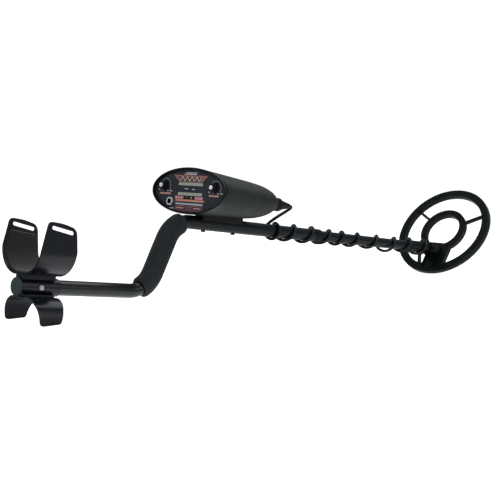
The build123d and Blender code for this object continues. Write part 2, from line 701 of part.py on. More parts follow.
# ---------------------------------------------------------------- knobs and their controls
def add_knob(side, name):
    """Makes a fluted knob, its white end cap and the shaft that they turn."""
    place = (side * KNOB_Y, KNOB_Z)
    with BuildPart() as knob:
        with BuildSketch(across(KNOB_BACK_X)):
            with Locations(place):
                Circle(KNOB_SKIRT_R)
        extrude(amount=-KNOB_SKIRT_THICK)
        fillet(knob.faces().sort_by(Axis.X)[0].edges(), KNOB_SKIRT_THICK / 4)
        with BuildSketch(across(KNOB_FRONT_X)):
            with Locations(place):
                Circle(KNOB_TAPER[1])
        with BuildSketch(across(KNOB_BACK_X - KNOB_SKIRT_THICK)):
            with Locations(place):
                Circle(KNOB_TAPER[0])
        loft()
        fillet(knob.faces().sort_by(Axis.X)[0].edges(), KNOB_SKIRT_THICK / 4)
        with BuildSketch(across(KNOB_FRONT_X)):
            with Locations(place):
                with PolarLocations(KNOB_TAPER[0] + FLUTE_R / 4, FLUTES):
                    Circle(FLUTE_R)
        extrude(amount=KNOB_BACK_X - KNOB_SKIRT_THICK - KNOB_FRONT_X, mode=Mode.SUBTRACT)
        with BuildSketch(across(KNOB_FRONT_X)):
            with Locations(place):
                Circle(KNOB_CAP_R + CLEAR)
        extrude(amount=CAP_RECESS, mode=Mode.SUBTRACT)
        with BuildSketch(across(KNOB_BACK_X)):
            with Locations(place):
                Circle(SHAFT_R + RUNNING)
        extrude(amount=SHAFT_SPAN[0] - CLEAR - KNOB_BACK_X, mode=Mode.SUBTRACT)
    keep(knob, "knob_" + name)
    with BuildPart() as knob_cap:
        with BuildSketch(across(KNOB_FRONT_X + CAP_RECESS - CLEAR)):
            with Locations(place):
                Circle(KNOB_CAP_R)
        extrude(amount=-CAP_RECESS - 1)
        fillet(knob_cap.faces().sort_by(Axis.X)[0].edges(), CAP_RECESS / 3)
    keep(knob_cap, "knob_cap_" + name)
    with BuildPart() as pot_shaft:
        with BuildSketch(across(SHAFT_SPAN[0])):
            with Locations(place):
                Circle(SHAFT_R)
        extrude(amount=SHAFT_SPAN[1] - SHAFT_SPAN[0])
    keep(pot_shaft, "pot_shaft_" + name)


add_knob(1, "left")
add_knob(-1, "right")

with BuildPart() as potentiometers:
    with BuildSketch(across(LABEL_X)):
        with Locations((-KNOB_Y, KNOB_Z), (KNOB_Y, KNOB_Z)):
            Circle(POT_BUSHING_R)
    extrude(amount=POT_SPAN[0] - LABEL_X)
    with BuildSketch(across(POT_SPAN[0])):
        with Locations((-KNOB_Y, KNOB_Z), (KNOB_Y, KNOB_Z)):
            Circle(POT_R)
    extrude(amount=POT_SPAN[1] - POT_SPAN[0])
    with BuildSketch(across(LABEL_X)):
        with Locations((-KNOB_Y, KNOB_Z), (KNOB_Y, KNOB_Z)):
            Circle(SHAFT_R + RUNNING)
    extrude(amount=SHAFT_SPAN[1] + CLEAR - LABEL_X, mode=Mode.SUBTRACT)
keep(potentiometers, "potentiometers")


def add_key(side, name):
    """Makes a touch key with the flange that keeps it behind the plate."""
    with BuildPart() as key:
        with BuildSketch(across(KEY_FRONT_X)):
            with Locations((side * KEY_Y, KEY_Z)):
                RectangleRounded(*KEY_SIZE, 1)
        extrude(amount=PANEL_DEPTH + CLEAR - KEY_FRONT_X)
        with BuildSketch(across(PANEL_DEPTH + CLEAR)):
            with Locations((side * KEY_Y, KEY_Z)):
                Rectangle(KEY_SIZE[0] + 2 * KEY_FLANGE, KEY_SIZE[1] + 2 * KEY_FLANGE)
        extrude(amount=KEY_FLANGE_THICK)
    keep(key, "key_" + name)


add_key(1, "left")
add_key(-1, "right")

with BuildPart() as key_switches:
    with BuildSketch(across(KEY_BOARD_SPAN[0])):
        with Locations((0, KEY_Z)):
            Rectangle(2 * KEY_Y + SWITCH_SIZE, SWITCH_SIZE)
    extrude(amount=KEY_BOARD_SPAN[1] - KEY_BOARD_SPAN[0])
    with BuildSketch(across(SWITCH_FRONT_X)):
        with Locations((-KEY_Y, KEY_Z), (KEY_Y, KEY_Z)):
            Rectangle(SWITCH_SIZE, SWITCH_SIZE)
    extrude(amount=KEY_BOARD_SPAN[0] - SWITCH_FRONT_X)
keep(key_switches, "key_switches")

with BuildPart() as headphone_jack:
    with BuildSketch(across(JACK_FRONT_X)):
        with Locations(JACK_AT):
            Circle(JACK_THREAD_R)
    extrude(amount=PANEL_DEPTH + CLEAR - JACK_FRONT_X)
    with BuildSketch(across(PANEL_DEPTH + CLEAR)):
        with Locations(JACK_AT):
            Rectangle(JACK_BODY[1], JACK_BODY[2])
    extrude(amount=JACK_BODY[0])
    with BuildSketch(across(JACK_FRONT_X)):
        with Locations(JACK_AT):
            Circle(JACK_BORE_R)
    extrude(amount=JACK_BORE_END_X - JACK_FRONT_X, mode=Mode.SUBTRACT)
keep(headphone_jack, "headphone_jack")

with BuildPart() as jack_nut:
    with BuildSketch(across(JACK_NUT_SPAN[0])):
        with Locations(JACK_AT):
            RegularPolygon(JACK_NUT_R, 6)
            Circle(JACK_THREAD_R + RUNNING, mode=Mode.SUBTRACT)
    extrude(amount=JACK_NUT_SPAN[1] - JACK_NUT_SPAN[0])
keep(jack_nut, "jack_nut")

board_middle_z = sum(BOARD_Z) / 2
with BuildPart() as circuit_board:
    with BuildSketch(across(BOARD_SPAN[0])):
        with Locations((0, board_middle_z)):
            Rectangle(2 * BOARD_HALF_WIDTH, BOARD_Z[1] - BOARD_Z[0])
    extrude(amount=BOARD_SPAN[1] - BOARD_SPAN[0])
    # chips and capacitors on its back, away from the leads
    for y, z, width, height, thick in BOARD_PARTS:
        with BuildSketch(across(BOARD_SPAN[1])):
            with Locations((y, z)):
                Rectangle(width, height)
        extrude(amount=thick)
keep(circuit_board, "circuit_board")

# ---------------------------------------------------------------- loudspeaker and batteries
with BuildPart() as speaker_basket:
    with BuildSketch(Plane.XY.offset(SPEAKER_Z)):
        with Locations(SPEAKER_AT):
            Circle(SPEAKER_R)
    extrude(amount=SPEAKER_HEIGHT)
    with BuildSketch(Plane.XY.offset(SPEAKER_Z)):
        with Locations(SPEAKER_AT):
            Circle(SPEAKER_R - 1)
    extrude(amount=SPEAKER_HEIGHT - 1, mode=Mode.SUBTRACT)
    with BuildSketch(Plane.XY.offset(SPEAKER_Z + SPEAKER_HEIGHT)):
        with Locations(SPEAKER_AT):
            Circle(MAGNET_R)
    extrude(amount=MAGNET_THICK)
keep(speaker_basket, "speaker_basket")

with BuildPart() as speaker_cone:
    for height, ring_r in ((0, SPEAKER_R - 1.2), (SPEAKER_HEIGHT - 3, CONE_NECK_R)):
        with BuildSketch(Plane.XY.offset(SPEAKER_Z + 1 + height)):
            with Locations(SPEAKER_AT):
                Circle(ring_r)
    loft()
    for height, ring_r in ((0, SPEAKER_R - 1.9), (SPEAKER_HEIGHT - 3, CONE_NECK_R - 0.7)):
        with BuildSketch(Plane.XY.offset(SPEAKER_Z + 1 + height)):
            with Locations(SPEAKER_AT):
                Circle(ring_r)
    loft(mode=Mode.SUBTRACT)
keep(speaker_cone, "speaker_cone")

with BuildPart() as batteries:
    for low_z in BATTERY_LOW_Z:
        with BuildSketch(Plane.XY.offset(low_z)):
            with Locations(BATTERY_AT):
                RectangleRounded(BATTERY[0], BATTERY[1], 1.5)
        extrude(amount=BATTERY[2])
        with BuildSketch(across(BATTERY_AT[0] - BATTERY[0] / 2)):
            middle_z = low_z + BATTERY[2] / 2
            with Locations(*[(BATTERY_AT[1] + side * TERMINAL_SPREAD, middle_z) for side in (-1, 1)]):
                Circle(TERMINAL_R)
        extrude(amount=-TERMINAL_LENGTH)
keep(batteries, "batteries")

snap_front_x = BATTERY_AT[0] - BATTERY[0] / 2 - TERMINAL_LENGTH - CLEAR
with BuildPart() as battery_snaps:
    for low_z in BATTERY_LOW_Z:
        with BuildSketch(across(snap_front_x)):
            with Locations((BATTERY_AT[1], low_z + BATTERY[2] / 2)):
                RectangleRounded(SNAP_SIZE[1], SNAP_SIZE[2], 2)
        extrude(amount=-SNAP_SIZE[0])
keep(battery_snaps, "battery_snaps")

with BuildPart() as inner_leads:
    # two leads from each battery snap
    with BuildSketch(across(BOARD_SPAN[1] + CLEAR)):
        for lead_z in BATTERY_LEAD_Z:
            with Locations((BATTERY_AT[1] - 2, lead_z), (BATTERY_AT[1] + 2, lead_z)):
                Circle(LEAD_R)
    extrude(amount=snap_front_x - SNAP_SIZE[0] - BOARD_SPAN[1] - 2 * CLEAR)
    # the screened lead from the coil socket
    with BuildSketch(across(BOARD_SPAN[1] + CLEAR)):
        with Locations((PLUG_Y, PLUG_Z)):
            Circle(2 * LEAD_R)
    extrude(amount=SOCKET_SPAN[0] - BOARD_SPAN[1] - 2 * CLEAR)
keep(inner_leads, "inner_leads")

with BuildPart() as speaker_lead:
    with BuildLine() as speaker_route:
        FilletPolyline(*SPEAKER_ROUTE, radius=12)
    with BuildSketch(Plane(origin=speaker_route.line @ 0, z_dir=speaker_route.line % 0)):
        Circle(LEAD_R)
    sweep()
keep(speaker_lead, "speaker_lead")

# ---------------------------------------------------------------- saddle and its fasteners
with BuildPart() as saddle:
    with BuildSketch(Plane.XY.offset(SADDLE_LOW_Z)):
        with Locations((sum(SADDLE_SPAN) / 2, 0)):
            RectangleRounded(SADDLE_SPAN[1] - SADDLE_SPAN[0], SADDLE_WIDTH, 6)
    extrude(amount=HOUSING_Z / 2)
    with BuildSketch(across(0)):
        Circle(TUBE_R + CLEAR)
    extrude(amount=HOUSING_LENGTH, mode=Mode.SUBTRACT)
    add(hull.part, mode=Mode.SUBTRACT)
    with BuildSketch(Plane.XY):
        with Locations(*[(x, 0) for x in SADDLE_SCREWS_X]):
            Circle(SADDLE_SCREW_R + CLEAR)
    extrude(amount=HOUSING_Z, mode=Mode.SUBTRACT)
keep(saddle, "saddle")

with BuildPart() as housing_screws:
    with BuildSketch(Plane.XY.offset(-TUBE_R - CLEAR)):
        with Locations(*[(x, 0) for x in SADDLE_SCREWS_X]):
            Circle(SADDLE_HEAD_R)
    extrude(amount=-SADDLE_HEAD_THICK)
    fillet(housing_screws.faces().filter_by(Axis.Z).group_by(Axis.Z)[0].edges(), SADDLE_HEAD_THICK / 4)
    with BuildSketch(Plane.XY.offset(-TUBE_R - SADDLE_HEAD_THICK - CLEAR)):
        with Locations(*[(x, 0) for x in SADDLE_SCREWS_X]):
            Rectangle(SADDLE_HEAD_R, CROSS_WIDTH)
            Rectangle(CROSS_WIDTH, SADDLE_HEAD_R)
    extrude(amount=SADDLE_HEAD_THICK / 2, mode=Mode.SUBTRACT)
    with BuildSketch(Plane.XY.offset(-TUBE_R - CLEAR)):
        with Locations(*[(x, 0) for x in SADDLE_SCREWS_X]):
            Circle(SADDLE_SCREW_R)
    extrude(amount=BOSS_TOP_Z + NUT_THICK + 1 + TUBE_R)
keep(housing_screws, "housing_screws")

with BuildPart() as housing_nuts:
    with BuildSketch(Plane.XY.offset(BOSS_TOP_Z + CLEAR)):
        with Locations(*[(x, 0) for x in SADDLE_SCREWS_X]):
            RegularPolygon(SADDLE_NUT_R, 6)
            Circle(SADDLE_SCREW_R + RUNNING, mode=Mode.SUBTRACT)
    extrude(amount=NUT_THICK)
keep(housing_nuts, "housing_nuts")

# ---------------------------------------------------------------- coil socket and plug
plug_place = (PLUG_Y, PLUG_Z)

with BuildPart() as coil_socket:
    with BuildSketch(across(SOCKET_SPAN[0])):
        with Locations(plug_place):
            Circle(SOCKET_R)
    extrude(amount=SOCKET_FLANGE_X - SOCKET_SPAN[0])
    with BuildSketch(across(SOCKET_FLANGE_X)):
        with Locations(plug_place):
            Circle(SOCKET_FLANGE_R)
    extrude(amount=SOCKET_FLANGE_THICK)
    fillet(coil_socket.faces().sort_by(Axis.X)[-1].edges(), SOCKET_FLANGE_THICK / 3)
keep(coil_socket, "coil_socket")

with BuildPart() as socket_nut:
    with BuildSketch(across(SOCKET_SPAN[0])):
        with Locations(plug_place):
            RegularPolygon(SOCKET_NUT_R, 6)
            Circle(SOCKET_R + RUNNING, mode=Mode.SUBTRACT)
    extrude(amount=NUT_THICK - CLEAR)
keep(socket_nut, "socket_nut")

with BuildPart() as plug_ring:
    with BuildSketch(across(RING_SPAN[0])):
        with Locations(plug_place):
            Circle(RING_RADII[1])
            with PolarLocations(RING_RADII[1], RING_KNURLS):
                Circle(KNURL_R, mode=Mode.SUBTRACT)
            Circle(RING_RADII[0], mode=Mode.SUBTRACT)
    extrude(amount=RING_SPAN[1] - RING_SPAN[0])
keep(plug_ring, "plug_ring")

with BuildPart() as plug_body:
    with BuildSketch(across(PLUG_SPAN[0])):
        with Locations(plug_place):
            Circle(PLUG_R)
    extrude(amount=PLUG_SPAN[1] - PLUG_SPAN[0])
keep(plug_body, "plug_body")

with BuildPart() as plug_boot:
    for x, ring_r in zip(BOOT_SPAN, BOOT_RADII):
        with BuildSketch(across(x)):
            with Locations(plug_place):
                Circle(ring_r)
    loft()
    boot_length = BOOT_SPAN[1] - BOOT_SPAN[0]
    for rib in range(BOOT_RIBS):
        share = (rib + 1) / (BOOT_RIBS + 1)
        rib_r = BOOT_RADII[0] + share * (BOOT_RADII[1] - BOOT_RADII[0])
        with BuildSketch(across(BOOT_SPAN[0] + share * boot_length)):
            with Locations(plug_place):
                Circle(rib_r + 1)
                Circle(rib_r - BOOT_GROOVE / 2, mode=Mode.SUBTRACT)
        extrude(amount=BOOT_GROOVE, mode=Mode.SUBTRACT)
keep(plug_boot, "plug_boot")

# ---------------------------------------------------------------- lower stem
with BuildPart() as lower_stem:
    with BuildSketch(across(STEM_SPAN[0])):
        Circle(STEM_R)
        Circle(STEM_R - STEM_WALL, mode=Mode.SUBTRACT)
    extrude(amount=STEM_SPAN[1] - STEM_SPAN[0])
keep(lower_stem, "lower_stem")

with BuildPart() as stem_plug:
    with BuildSketch(across(STEM_SPAN[0] - CLEAR)):
        Circle(TUBE_BORE - CLEAR)
    extrude(amount=-PLUG_FLANGE)
    with BuildSketch(across(STEM_SPAN[0] - CLEAR)):
        Circle(STEM_R - STEM_WALL - CLEAR)
    extrude(amount=PLUG_STUB)
keep(stem_plug, "stem_plug")

with BuildPart() as stem_bushing:
    with BuildSketch(across(COLLET_SPAN[0])):
        Circle(COLLET_R)
        Circle(STEM_R + RUNNING, mode=Mode.SUBTRACT)
    extrude(amount=COLLET_SPAN[1] - COLLET_SPAN[0])
keep(stem_bushing, "stem_bushing")

with BuildPart() as lock_collar:
    with BuildSketch(across(LOCK_SPAN[0])):
        Circle(LOCK_R)
        with PolarLocations(LOCK_R, LOCK_GROOVES):
            Circle(KNURL_R / 2, mode=Mode.SUBTRACT)
        Circle(COLLET_R + RUNNING, mode=Mode.SUBTRACT)
    extrude(amount=LOCK_SPAN[1] - LOCK_SPAN[0])
keep(lock_collar, "lock_collar")

with BuildPart() as stem_tip:
    with BuildSketch(across(TIP_START_X)):
        Circle(TIP_R)
    extrude(amount=TIP_SHOULDER_X - TIP_START_X)
    chamfer(stem_tip.faces().sort_by(Axis.X)[0].edges(), TIP_CHAMFER)
    fillet(stem_tip.faces().sort_by(Axis.X)[-1].edges(), TIP_CHAMFER)
    with BuildSketch(across(TIP_START_X)):
        Circle(STEM_R + RUNNING)
    extrude(amount=STEM_SPAN[1] + CLEAR - TIP_START_X, mode=Mode.SUBTRACT)
    # tongue with the pivot's eye
    with BuildSketch(Plane.XZ) as tongue_outline:
        with Locations((PIVOT_X, 0)):
            Circle(EYE_R)
        with Locations(((PIVOT_X + TIP_SHOULDER_X) / 2 - 1, 0)):
            Rectangle(PIVOT_X - TIP_SHOULDER_X + 2, 2 * EYE_R)
    extrude(amount=TONGUE_HALF, both=True)
    with BuildSketch(Plane.XZ):
        with Locations((PIVOT_X, 0)):
            Circle(BOLT_R + RUNNING)
    extrude(amount=TIP_R, both=True, mode=Mode.SUBTRACT)
keep(stem_tip, "stem_tip")

# ---------------------------------------------------------------- coil
pivot_plane = Plane(origin=(PIVOT_X, 0, 0), x_dir=(1, 0, 0), z_dir=(0, -1, 0))
ear_plane = Plane(origin=coil_centre, x_dir=along_coil, z_dir=(0, -1, 0))


def coil_outline():
    """Draws the coil seen from above: two rings joined by a web at the rear."""
    Circle(COIL_R)
    Circle(COIL_R - RING_WIDTH, mode=Mode.SUBTRACT)
    Circle(INNER_RING_R)
    with BuildLine() as web_edge:
        Polyline(*WEB_OUTLINE, close=True)
    make_face(web_edge.edges())
    with BuildLine() as window_edge:
        FilletPolyline(*WINDOW_OUTLINE, radius=WINDOW_ROUND_R, close=True)
    make_face(window_edge.edges(), mode=Mode.SUBTRACT)
    Circle(INNER_HOLE_R, mode=Mode.SUBTRACT)
    # plate across the rear of the hole
    chord_y = sqrt(INNER_HOLE_R**2 - CHORD_E**2)
    with BuildLine() as chord_edge:
        Line((CHORD_E, -chord_y), (CHORD_E, chord_y))
        ThreePointArc((CHORD_E, chord_y), (-INNER_HOLE_R, 0), (CHORD_E, -chord_y))
    make_face(chord_edge.edges())


def coil_spokes():
    """Draws the two thin spokes between the rings."""
    spoke_middle = (COIL_R - RING_WIDTH + INNER_RING_R) / 2
    for side in (-1, 1):
        with PolarLocations(spoke_middle, 1, start_angle=side * SPOKE_ANGLE):
            Rectangle(COIL_R - RING_WIDTH - INNER_RING_R + 2, SPOKE_WIDTH)


def winding_grooves(gap):
    """Draws the grooves of both windings, narrower all round by gap."""
    for inner_r, outer_r in (TX_GROOVE, RX_GROOVE):
        Circle(outer_r - gap)
        Circle(inner_r + gap, mode=Mode.SUBTRACT)


def rim_edge(part, height_index):
    """The coil's outermost circular edge, lowest (0) or highest (-1)."""
    rims = part.edges().filter_by(GeomType.CIRCLE).filter_by(lambda edge: abs(edge.radius - COIL_R) < CLEAR)
    return rims.sort_by(Axis(coil_centre, coil_up))[height_index]


with BuildPart() as coil_top:
    with BuildSketch(coil_plane.offset(COIL_SPLIT)):
        coil_outline()
    extrude(amount=-COIL_SPLIT)
    fillet(rim_edge(coil_top.part, -1), RIM_ROUND)
    with BuildSketch(coil_plane.offset(COIL_SPLIT)):
        coil_spokes()
    extrude(amount=SPOKE_HEIGHTS[1] - COIL_SPLIT)
    with BuildSketch(coil_plane.offset(COIL_SPLIT)):
        winding_grooves(0)
    extrude(amount=GROOVE_DEPTH, mode=Mode.SUBTRACT)
    for side in (-1, 1):
        with BuildSketch(coil_plane):
            with Locations((sum(COIL_RIB_SPAN) / 2, side * (EAR_IN_Y + EAR_THICK / 2))):
                Rectangle(COIL_RIB_SPAN[1] - COIL_RIB_SPAN[0], COIL_RIB_WIDTH)
        extrude(amount=COIL_RIB_RISE)
    # two ears that hold the pivot
    for side in (-1, 1):
        with BuildSketch(ear_plane.offset(side * (EAR_IN_Y + EAR_THICK / 2))):
            with Locations((pivot_along, PIVOT_HEIGHT)):
                Circle(EAR_R)
            with Locations((sum(EAR_BASE) / 2, -1)):
                Rectangle(EAR_BASE[1] - EAR_BASE[0], 2)
            make_hull()
            with Locations((pivot_along, PIVOT_HEIGHT)):
                Circle(BOLT_R + RUNNING, mode=Mode.SUBTRACT)
        extrude(amount=EAR_THICK / 2, both=True)
keep(coil_top, "coil_top")

with BuildPart() as coil_bottom:
    with BuildSketch(coil_plane.offset(-COIL_THICK)):
        coil_outline()
    extrude(amount=COIL_THICK + COIL_SPLIT - CLEAR)
    fillet(rim_edge(coil_bottom.part, 0), RIM_ROUND)
    with BuildSketch(coil_plane.offset(SPOKE_HEIGHTS[0])):
        coil_spokes()
    extrude(amount=COIL_SPLIT - CLEAR - SPOKE_HEIGHTS[0])
    with BuildSketch(coil_plane.offset(COIL_SPLIT - CLEAR)):
        winding_grooves(0)
    extrude(amount=-GROOVE_DEPTH, mode=Mode.SUBTRACT)
keep(coil_bottom, "coil_bottom")


def add_winding(groove, name):
    """Makes one potted winding in its groove, clear of both shells."""
    with BuildPart() as winding:
        with BuildSketch(coil_plane.offset(COIL_SPLIT - GROOVE_DEPTH + WINDING_GAP)):
            Circle(groove[1] - WINDING_GAP)
            Circle(groove[0] + WINDING_GAP, mode=Mode.SUBTRACT)
        extrude(amount=2 * (GROOVE_DEPTH - WINDING_GAP) - CLEAR)
    keep(winding, name)


add_winding(TX_GROOVE, "transmit_winding")
add_winding(RX_GROOVE, "receive_winding")

with BuildPart() as pivot_washers:
    for side in (-1, 1):
        with BuildSketch(pivot_plane.offset(side * (TONGUE_HALF + WASHER_THICK / 2))):
            Circle(WASHER_R)
            Circle(BOLT_R + RUNNING, mode=Mode.SUBTRACT)
        extrude(amount=WASHER_THICK / 2 - CLEAR / 2, both=True)
keep(pivot_washers, "pivot_washers")

with BuildPart() as pivot_bolt:
    with BuildSketch(pivot_plane.offset(-EAR_OUT_Y - CLEAR)):
        Circle(BOLT_HEAD_R)
    extrude(amount=-BOLT_HEAD_THICK)
    fillet(pivot_bolt.faces().sort_by(Axis.Y)[-1].edges(), BOLT_HEAD_THICK / 2)
    with BuildSketch(pivot_plane.offset(-EAR_OUT_Y - CLEAR)):
        Circle(BOLT_R)
    extrude(amount=EAR_OUT_Y - BOLT_TAIL_Y)
keep(pivot_bolt, "pivot_bolt")

with BuildPart() as thumb_nut:
    with BuildSketch(pivot_plane.offset(EAR_OUT_Y + CLEAR)):
        Circle(THUMB_R)
        with PolarLocations(THUMB_R + LOBE_CUT_R / 2, THUMB_LOBES):
            Circle(LOBE_CUT_R, mode=Mode.SUBTRACT)
    extrude(amount=THUMB_THICK)
    fillet(thumb_nut.faces().sort_by(Axis.Y)[0].edges(), 1)
    with BuildSketch(pivot_plane.offset(EAR_OUT_Y + CLEAR)):
        Circle(BOLT_R + RUNNING)
    extrude(amount=THUMB_THICK, mode=Mode.SUBTRACT)
keep(thumb_nut, "thumb_nut")

with BuildPart() as coil_gland:
    for x, ring_r in ((GLAND_X, GLAND_RADII[0]), (GLAND_X + GLAND_LENGTH, GLAND_RADII[1])):
        with BuildSketch(across(x)):
            with Locations((GLAND_Y, GLAND_Z)):
                Circle(ring_r)
    loft()
    split(bisect_by=coil_plane.offset(CLEAR), keep=Keep.TOP)
keep(coil_gland, "coil_gland")


# ---------------------------------------------------------------- coil cable
def winding_angle_x(turn):
    """How far along the stem the cable is after a number of turns, even between the crossings on top."""
    whole = min(int(turn), len(WIND_TOPS_X) - 2)
    return WIND_TOPS_X[whole] + (turn - whole) * (WIND_TOPS_X[whole + 1] - WIND_TOPS_X[whole])


def winding_radius(x):
    """Distance of the route's corners from the stem's axis, so that its runs clear what they lie on."""
    if x < LOCK_SPAN[1] + CABLE_R:
        core = LOCK_R if x > LOCK_SPAN[0] - 2 * CABLE_R else TUBE_R
    elif x < TIP_START_X - TIP_CLIMB:
        core = STEM_R
    else:
        core = TIP_R
    loose = LOOSE_DROP * max(0, 1 - ((x - LOOSE_X) / LOOSE_SPAN) ** 2)
    return (core + CABLE_R + CABLE_GAP) / cos(radians(180 / POINTS_PER_TURN)) + loose


def winding_point(step):
    """One corner of the wound route. The cable goes over the stem, down its left and up its right."""
    turn = step / POINTS_PER_TURN
    x = winding_angle_x(turn)
    angle = radians(360 * turn)
    return Vector(x, winding_radius(x) * sin(angle), winding_radius(x) * cos(angle))


def arc_radii(points):
    """The largest tangent arc that each corner of a route has room for."""
    radii = []
    for before, corner, after in zip(points, points[1:], points[2:]):
        run_in = corner - before
        run_out = after - corner
        half_turn = radians(run_in.get_angle(run_out)) / 2
        radii.append(ARC_SHARE * min(run_in.length, run_out.length) / tan(half_turn))
    return radii


def add_cable(points, name):
    """Makes one stretch of the coil cable and compares its volume with its section times its length."""
    radii = arc_radii(points)
    with BuildPart() as cable:
        with BuildLine() as route:
            FilletPolyline(*points, radius=radii)
        with BuildSketch(Plane(origin=route.line @ 0, z_dir=route.line % 0)):
            Circle(CABLE_R)
        sweep()
    keep(cable, name)
    length = route.wires()[0].length
    print(name, "length", round(length, 1), "tightest arc", round(min(radii), 1))
    print(name, "volume over section times length", cable.part.volume / (pi * CABLE_R**2 * length))


plug_end = [Vector(*point) for point in PLUG_END_POINTS]
tip_end = [Vector(*point) for point in TIP_END_POINTS]
first_step = 2
upper_steps = [step for step in range(first_step, LAST_STEP) if winding_point(step).X < CABLE_SPLIT_X]
lower_steps = range(upper_steps[-1] + 1, LAST_STEP)
split_point = (winding_point(upper_steps[-1]) + winding_point(lower_steps[0])) / 2
tail_start = (winding_point(lower_steps[-1]) + tip_end[0]) / 2

add_cable(plug_end + [winding_point(step) for step in upper_steps] + [split_point], "cable_upper")
add_cable([split_point] + [winding_point(step) for step in lower_steps] + [tail_start], "cable_lower")
add_cable([tail_start] + tip_end, "cable_tail")

# ---------------------------------------------------------------- standing on the ground
lift = FOOT_X * sin(radians(PITCH)) - FOOT_Z * cos(radians(PITCH))
standing = [piece.moved(Location((0, 0, lift), (0, PITCH, 0))) for piece in pieces]
boxes = [piece.bounding_box() for piece in standing]
middle_x = (min(box.min.X for box in boxes) + max(box.max.X for box in boxes)) / 2

os.makedirs("parts", exist_ok=True)
for piece, placed in zip(pieces, standing):
    finished = placed.moved(Location((-middle_x, 0, 0)))
    finished.label = piece.label
    export_step(finished, f"parts/{piece.label}.step")
print("pitch", PITCH, "lift", lift, "middle x", middle_x, "pivot x", PIVOT_X, "pieces", len(pieces))
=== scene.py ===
"""Metal detector: camera, studio, cable, foam, arm pad, face print and materials around the CAD frame."""

import json
import math

import bmesh
import bpy
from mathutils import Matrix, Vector, noise


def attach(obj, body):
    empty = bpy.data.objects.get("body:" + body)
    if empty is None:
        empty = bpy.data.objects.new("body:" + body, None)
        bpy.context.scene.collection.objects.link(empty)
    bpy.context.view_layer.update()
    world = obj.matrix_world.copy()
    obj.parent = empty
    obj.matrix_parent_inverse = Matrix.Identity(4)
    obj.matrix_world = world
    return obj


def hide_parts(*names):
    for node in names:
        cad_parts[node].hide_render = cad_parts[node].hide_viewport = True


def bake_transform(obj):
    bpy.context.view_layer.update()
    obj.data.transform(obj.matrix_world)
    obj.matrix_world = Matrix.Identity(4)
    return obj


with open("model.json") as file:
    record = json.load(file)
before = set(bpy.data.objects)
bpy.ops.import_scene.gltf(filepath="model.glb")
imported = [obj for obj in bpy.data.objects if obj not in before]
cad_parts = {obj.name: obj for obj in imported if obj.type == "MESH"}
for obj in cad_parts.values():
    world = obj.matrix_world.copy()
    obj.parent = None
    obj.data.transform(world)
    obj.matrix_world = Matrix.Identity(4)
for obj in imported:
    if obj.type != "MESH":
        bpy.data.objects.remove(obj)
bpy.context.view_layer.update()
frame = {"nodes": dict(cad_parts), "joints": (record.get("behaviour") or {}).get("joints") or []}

# ---------------------------------------------------------------- the stem frame, millimetres to metres
MM = 0.001
JOINTS = {joint["name"]: joint for joint in frame["joints"]}
LOCK_X = 325.0  # where the locking ring's joint stands along the stem
ALONG = Vector(JOINTS["stem_slide"]["axis"]).normalized()
LEFT = Vector((0, 1, 0))
UP = ALONG.cross(LEFT)
ORIGIN = Vector(JOINTS["stem_lock_turn"]["pos_m"]) - ALONG * LOCK_X * MM


def stem(x, y, z):
    """A point of the stem frame, in millimetres, as a point of the row frame."""
    return ORIGIN + (ALONG * x + LEFT * y + UP * z) * MM


def mesh_object(name, points, faces, smooth=True):
    """A mesh piece from row-frame points, with its faces turned outwards."""
    mesh = bpy.data.meshes.new(name)
    mesh.from_pydata([tuple(p) for p in points], [], faces)
    work = bmesh.new()
    work.from_mesh(mesh)
    bmesh.ops.recalc_face_normals(work, faces=work.faces)
    work.to_mesh(mesh)
    work.free()
    for polygon in mesh.polygons:
        polygon.use_smooth = smooth
    piece = bpy.data.objects.new(name, mesh)
    bpy.context.scene.collection.objects.link(piece)
    return piece


# ---------------------------------------------------------------- camera
CAMERA_AT = (-1.4125, -1.2448, 0.2498)  # metres
CAMERA_TURN = (84.555, -1.210, -46.618)  # degrees
CAMERA_LENS, CAMERA_SENSOR = 77.98, 36.0  # millimetres
CAMERA_REACH = 50.0

camera_data = bpy.data.cameras.new("camera")
camera_data.lens = CAMERA_LENS
camera_data.sensor_width = CAMERA_SENSOR
camera_data.clip_end = CAMERA_REACH
camera = bpy.data.objects.new("camera", camera_data)
camera.location = CAMERA_AT
camera.rotation_euler = [math.radians(a) for a in CAMERA_TURN]
bpy.context.scene.collection.objects.link(camera)
bpy.context.scene.camera = camera

# ---------------------------------------------------------------- coil cable, wound round the stem
CABLE_R = 2.6
CABLE_GAP = 0.2
WIND_TOPS_X = [201, 213, 263, 312, 362, 399, 446, 507, 565, 615, 670]
POINTS_PER_TURN = 12
FIRST_STEP, LAST_STEP = 2, 120
TUBE_R, RING_R, STEM_R, TIP_R = 11.1, 12.0, 9.525, 11.5
RING_FROM_X, RING_TO_X, TIP_FROM_X = 313.2, 335.2, 600.0
LOOSE_X, LOOSE_SPAN, LOOSE_DROP = 536.0, 16.0, 3.0
PLUG_END_POINTS = [(199, -40, 44), (203.5, -40, 44), (207.4, -38.2, 42.7), (209.3, -34.6, 40), (206, 1, 18.6)]
TIP_END_POINTS = [
    (671.5, 0.5, 15.2), (677, 8.5, 15), (682, 15.5, 12.4), (685.2, 19.4, 7.5), (689, 19.4, 3), (694, 19.4, 3),
]
TUBE_SIDES = 20
CURVE_RESOLUTION, CURVE_ORDER = 6, 3


def winding_radius(x):
    """Distance of the route's corners from the stem's axis."""
    if x <= RING_TO_X:
        core = TUBE_R if x <= RING_FROM_X else RING_R
    else:
        core = STEM_R if x < TIP_FROM_X else TIP_R
    loose = LOOSE_DROP * max(0, 1 - ((x - LOOSE_X) / LOOSE_SPAN) ** 2)
    return (core + CABLE_R + CABLE_GAP) / math.cos(math.pi / POINTS_PER_TURN) + loose


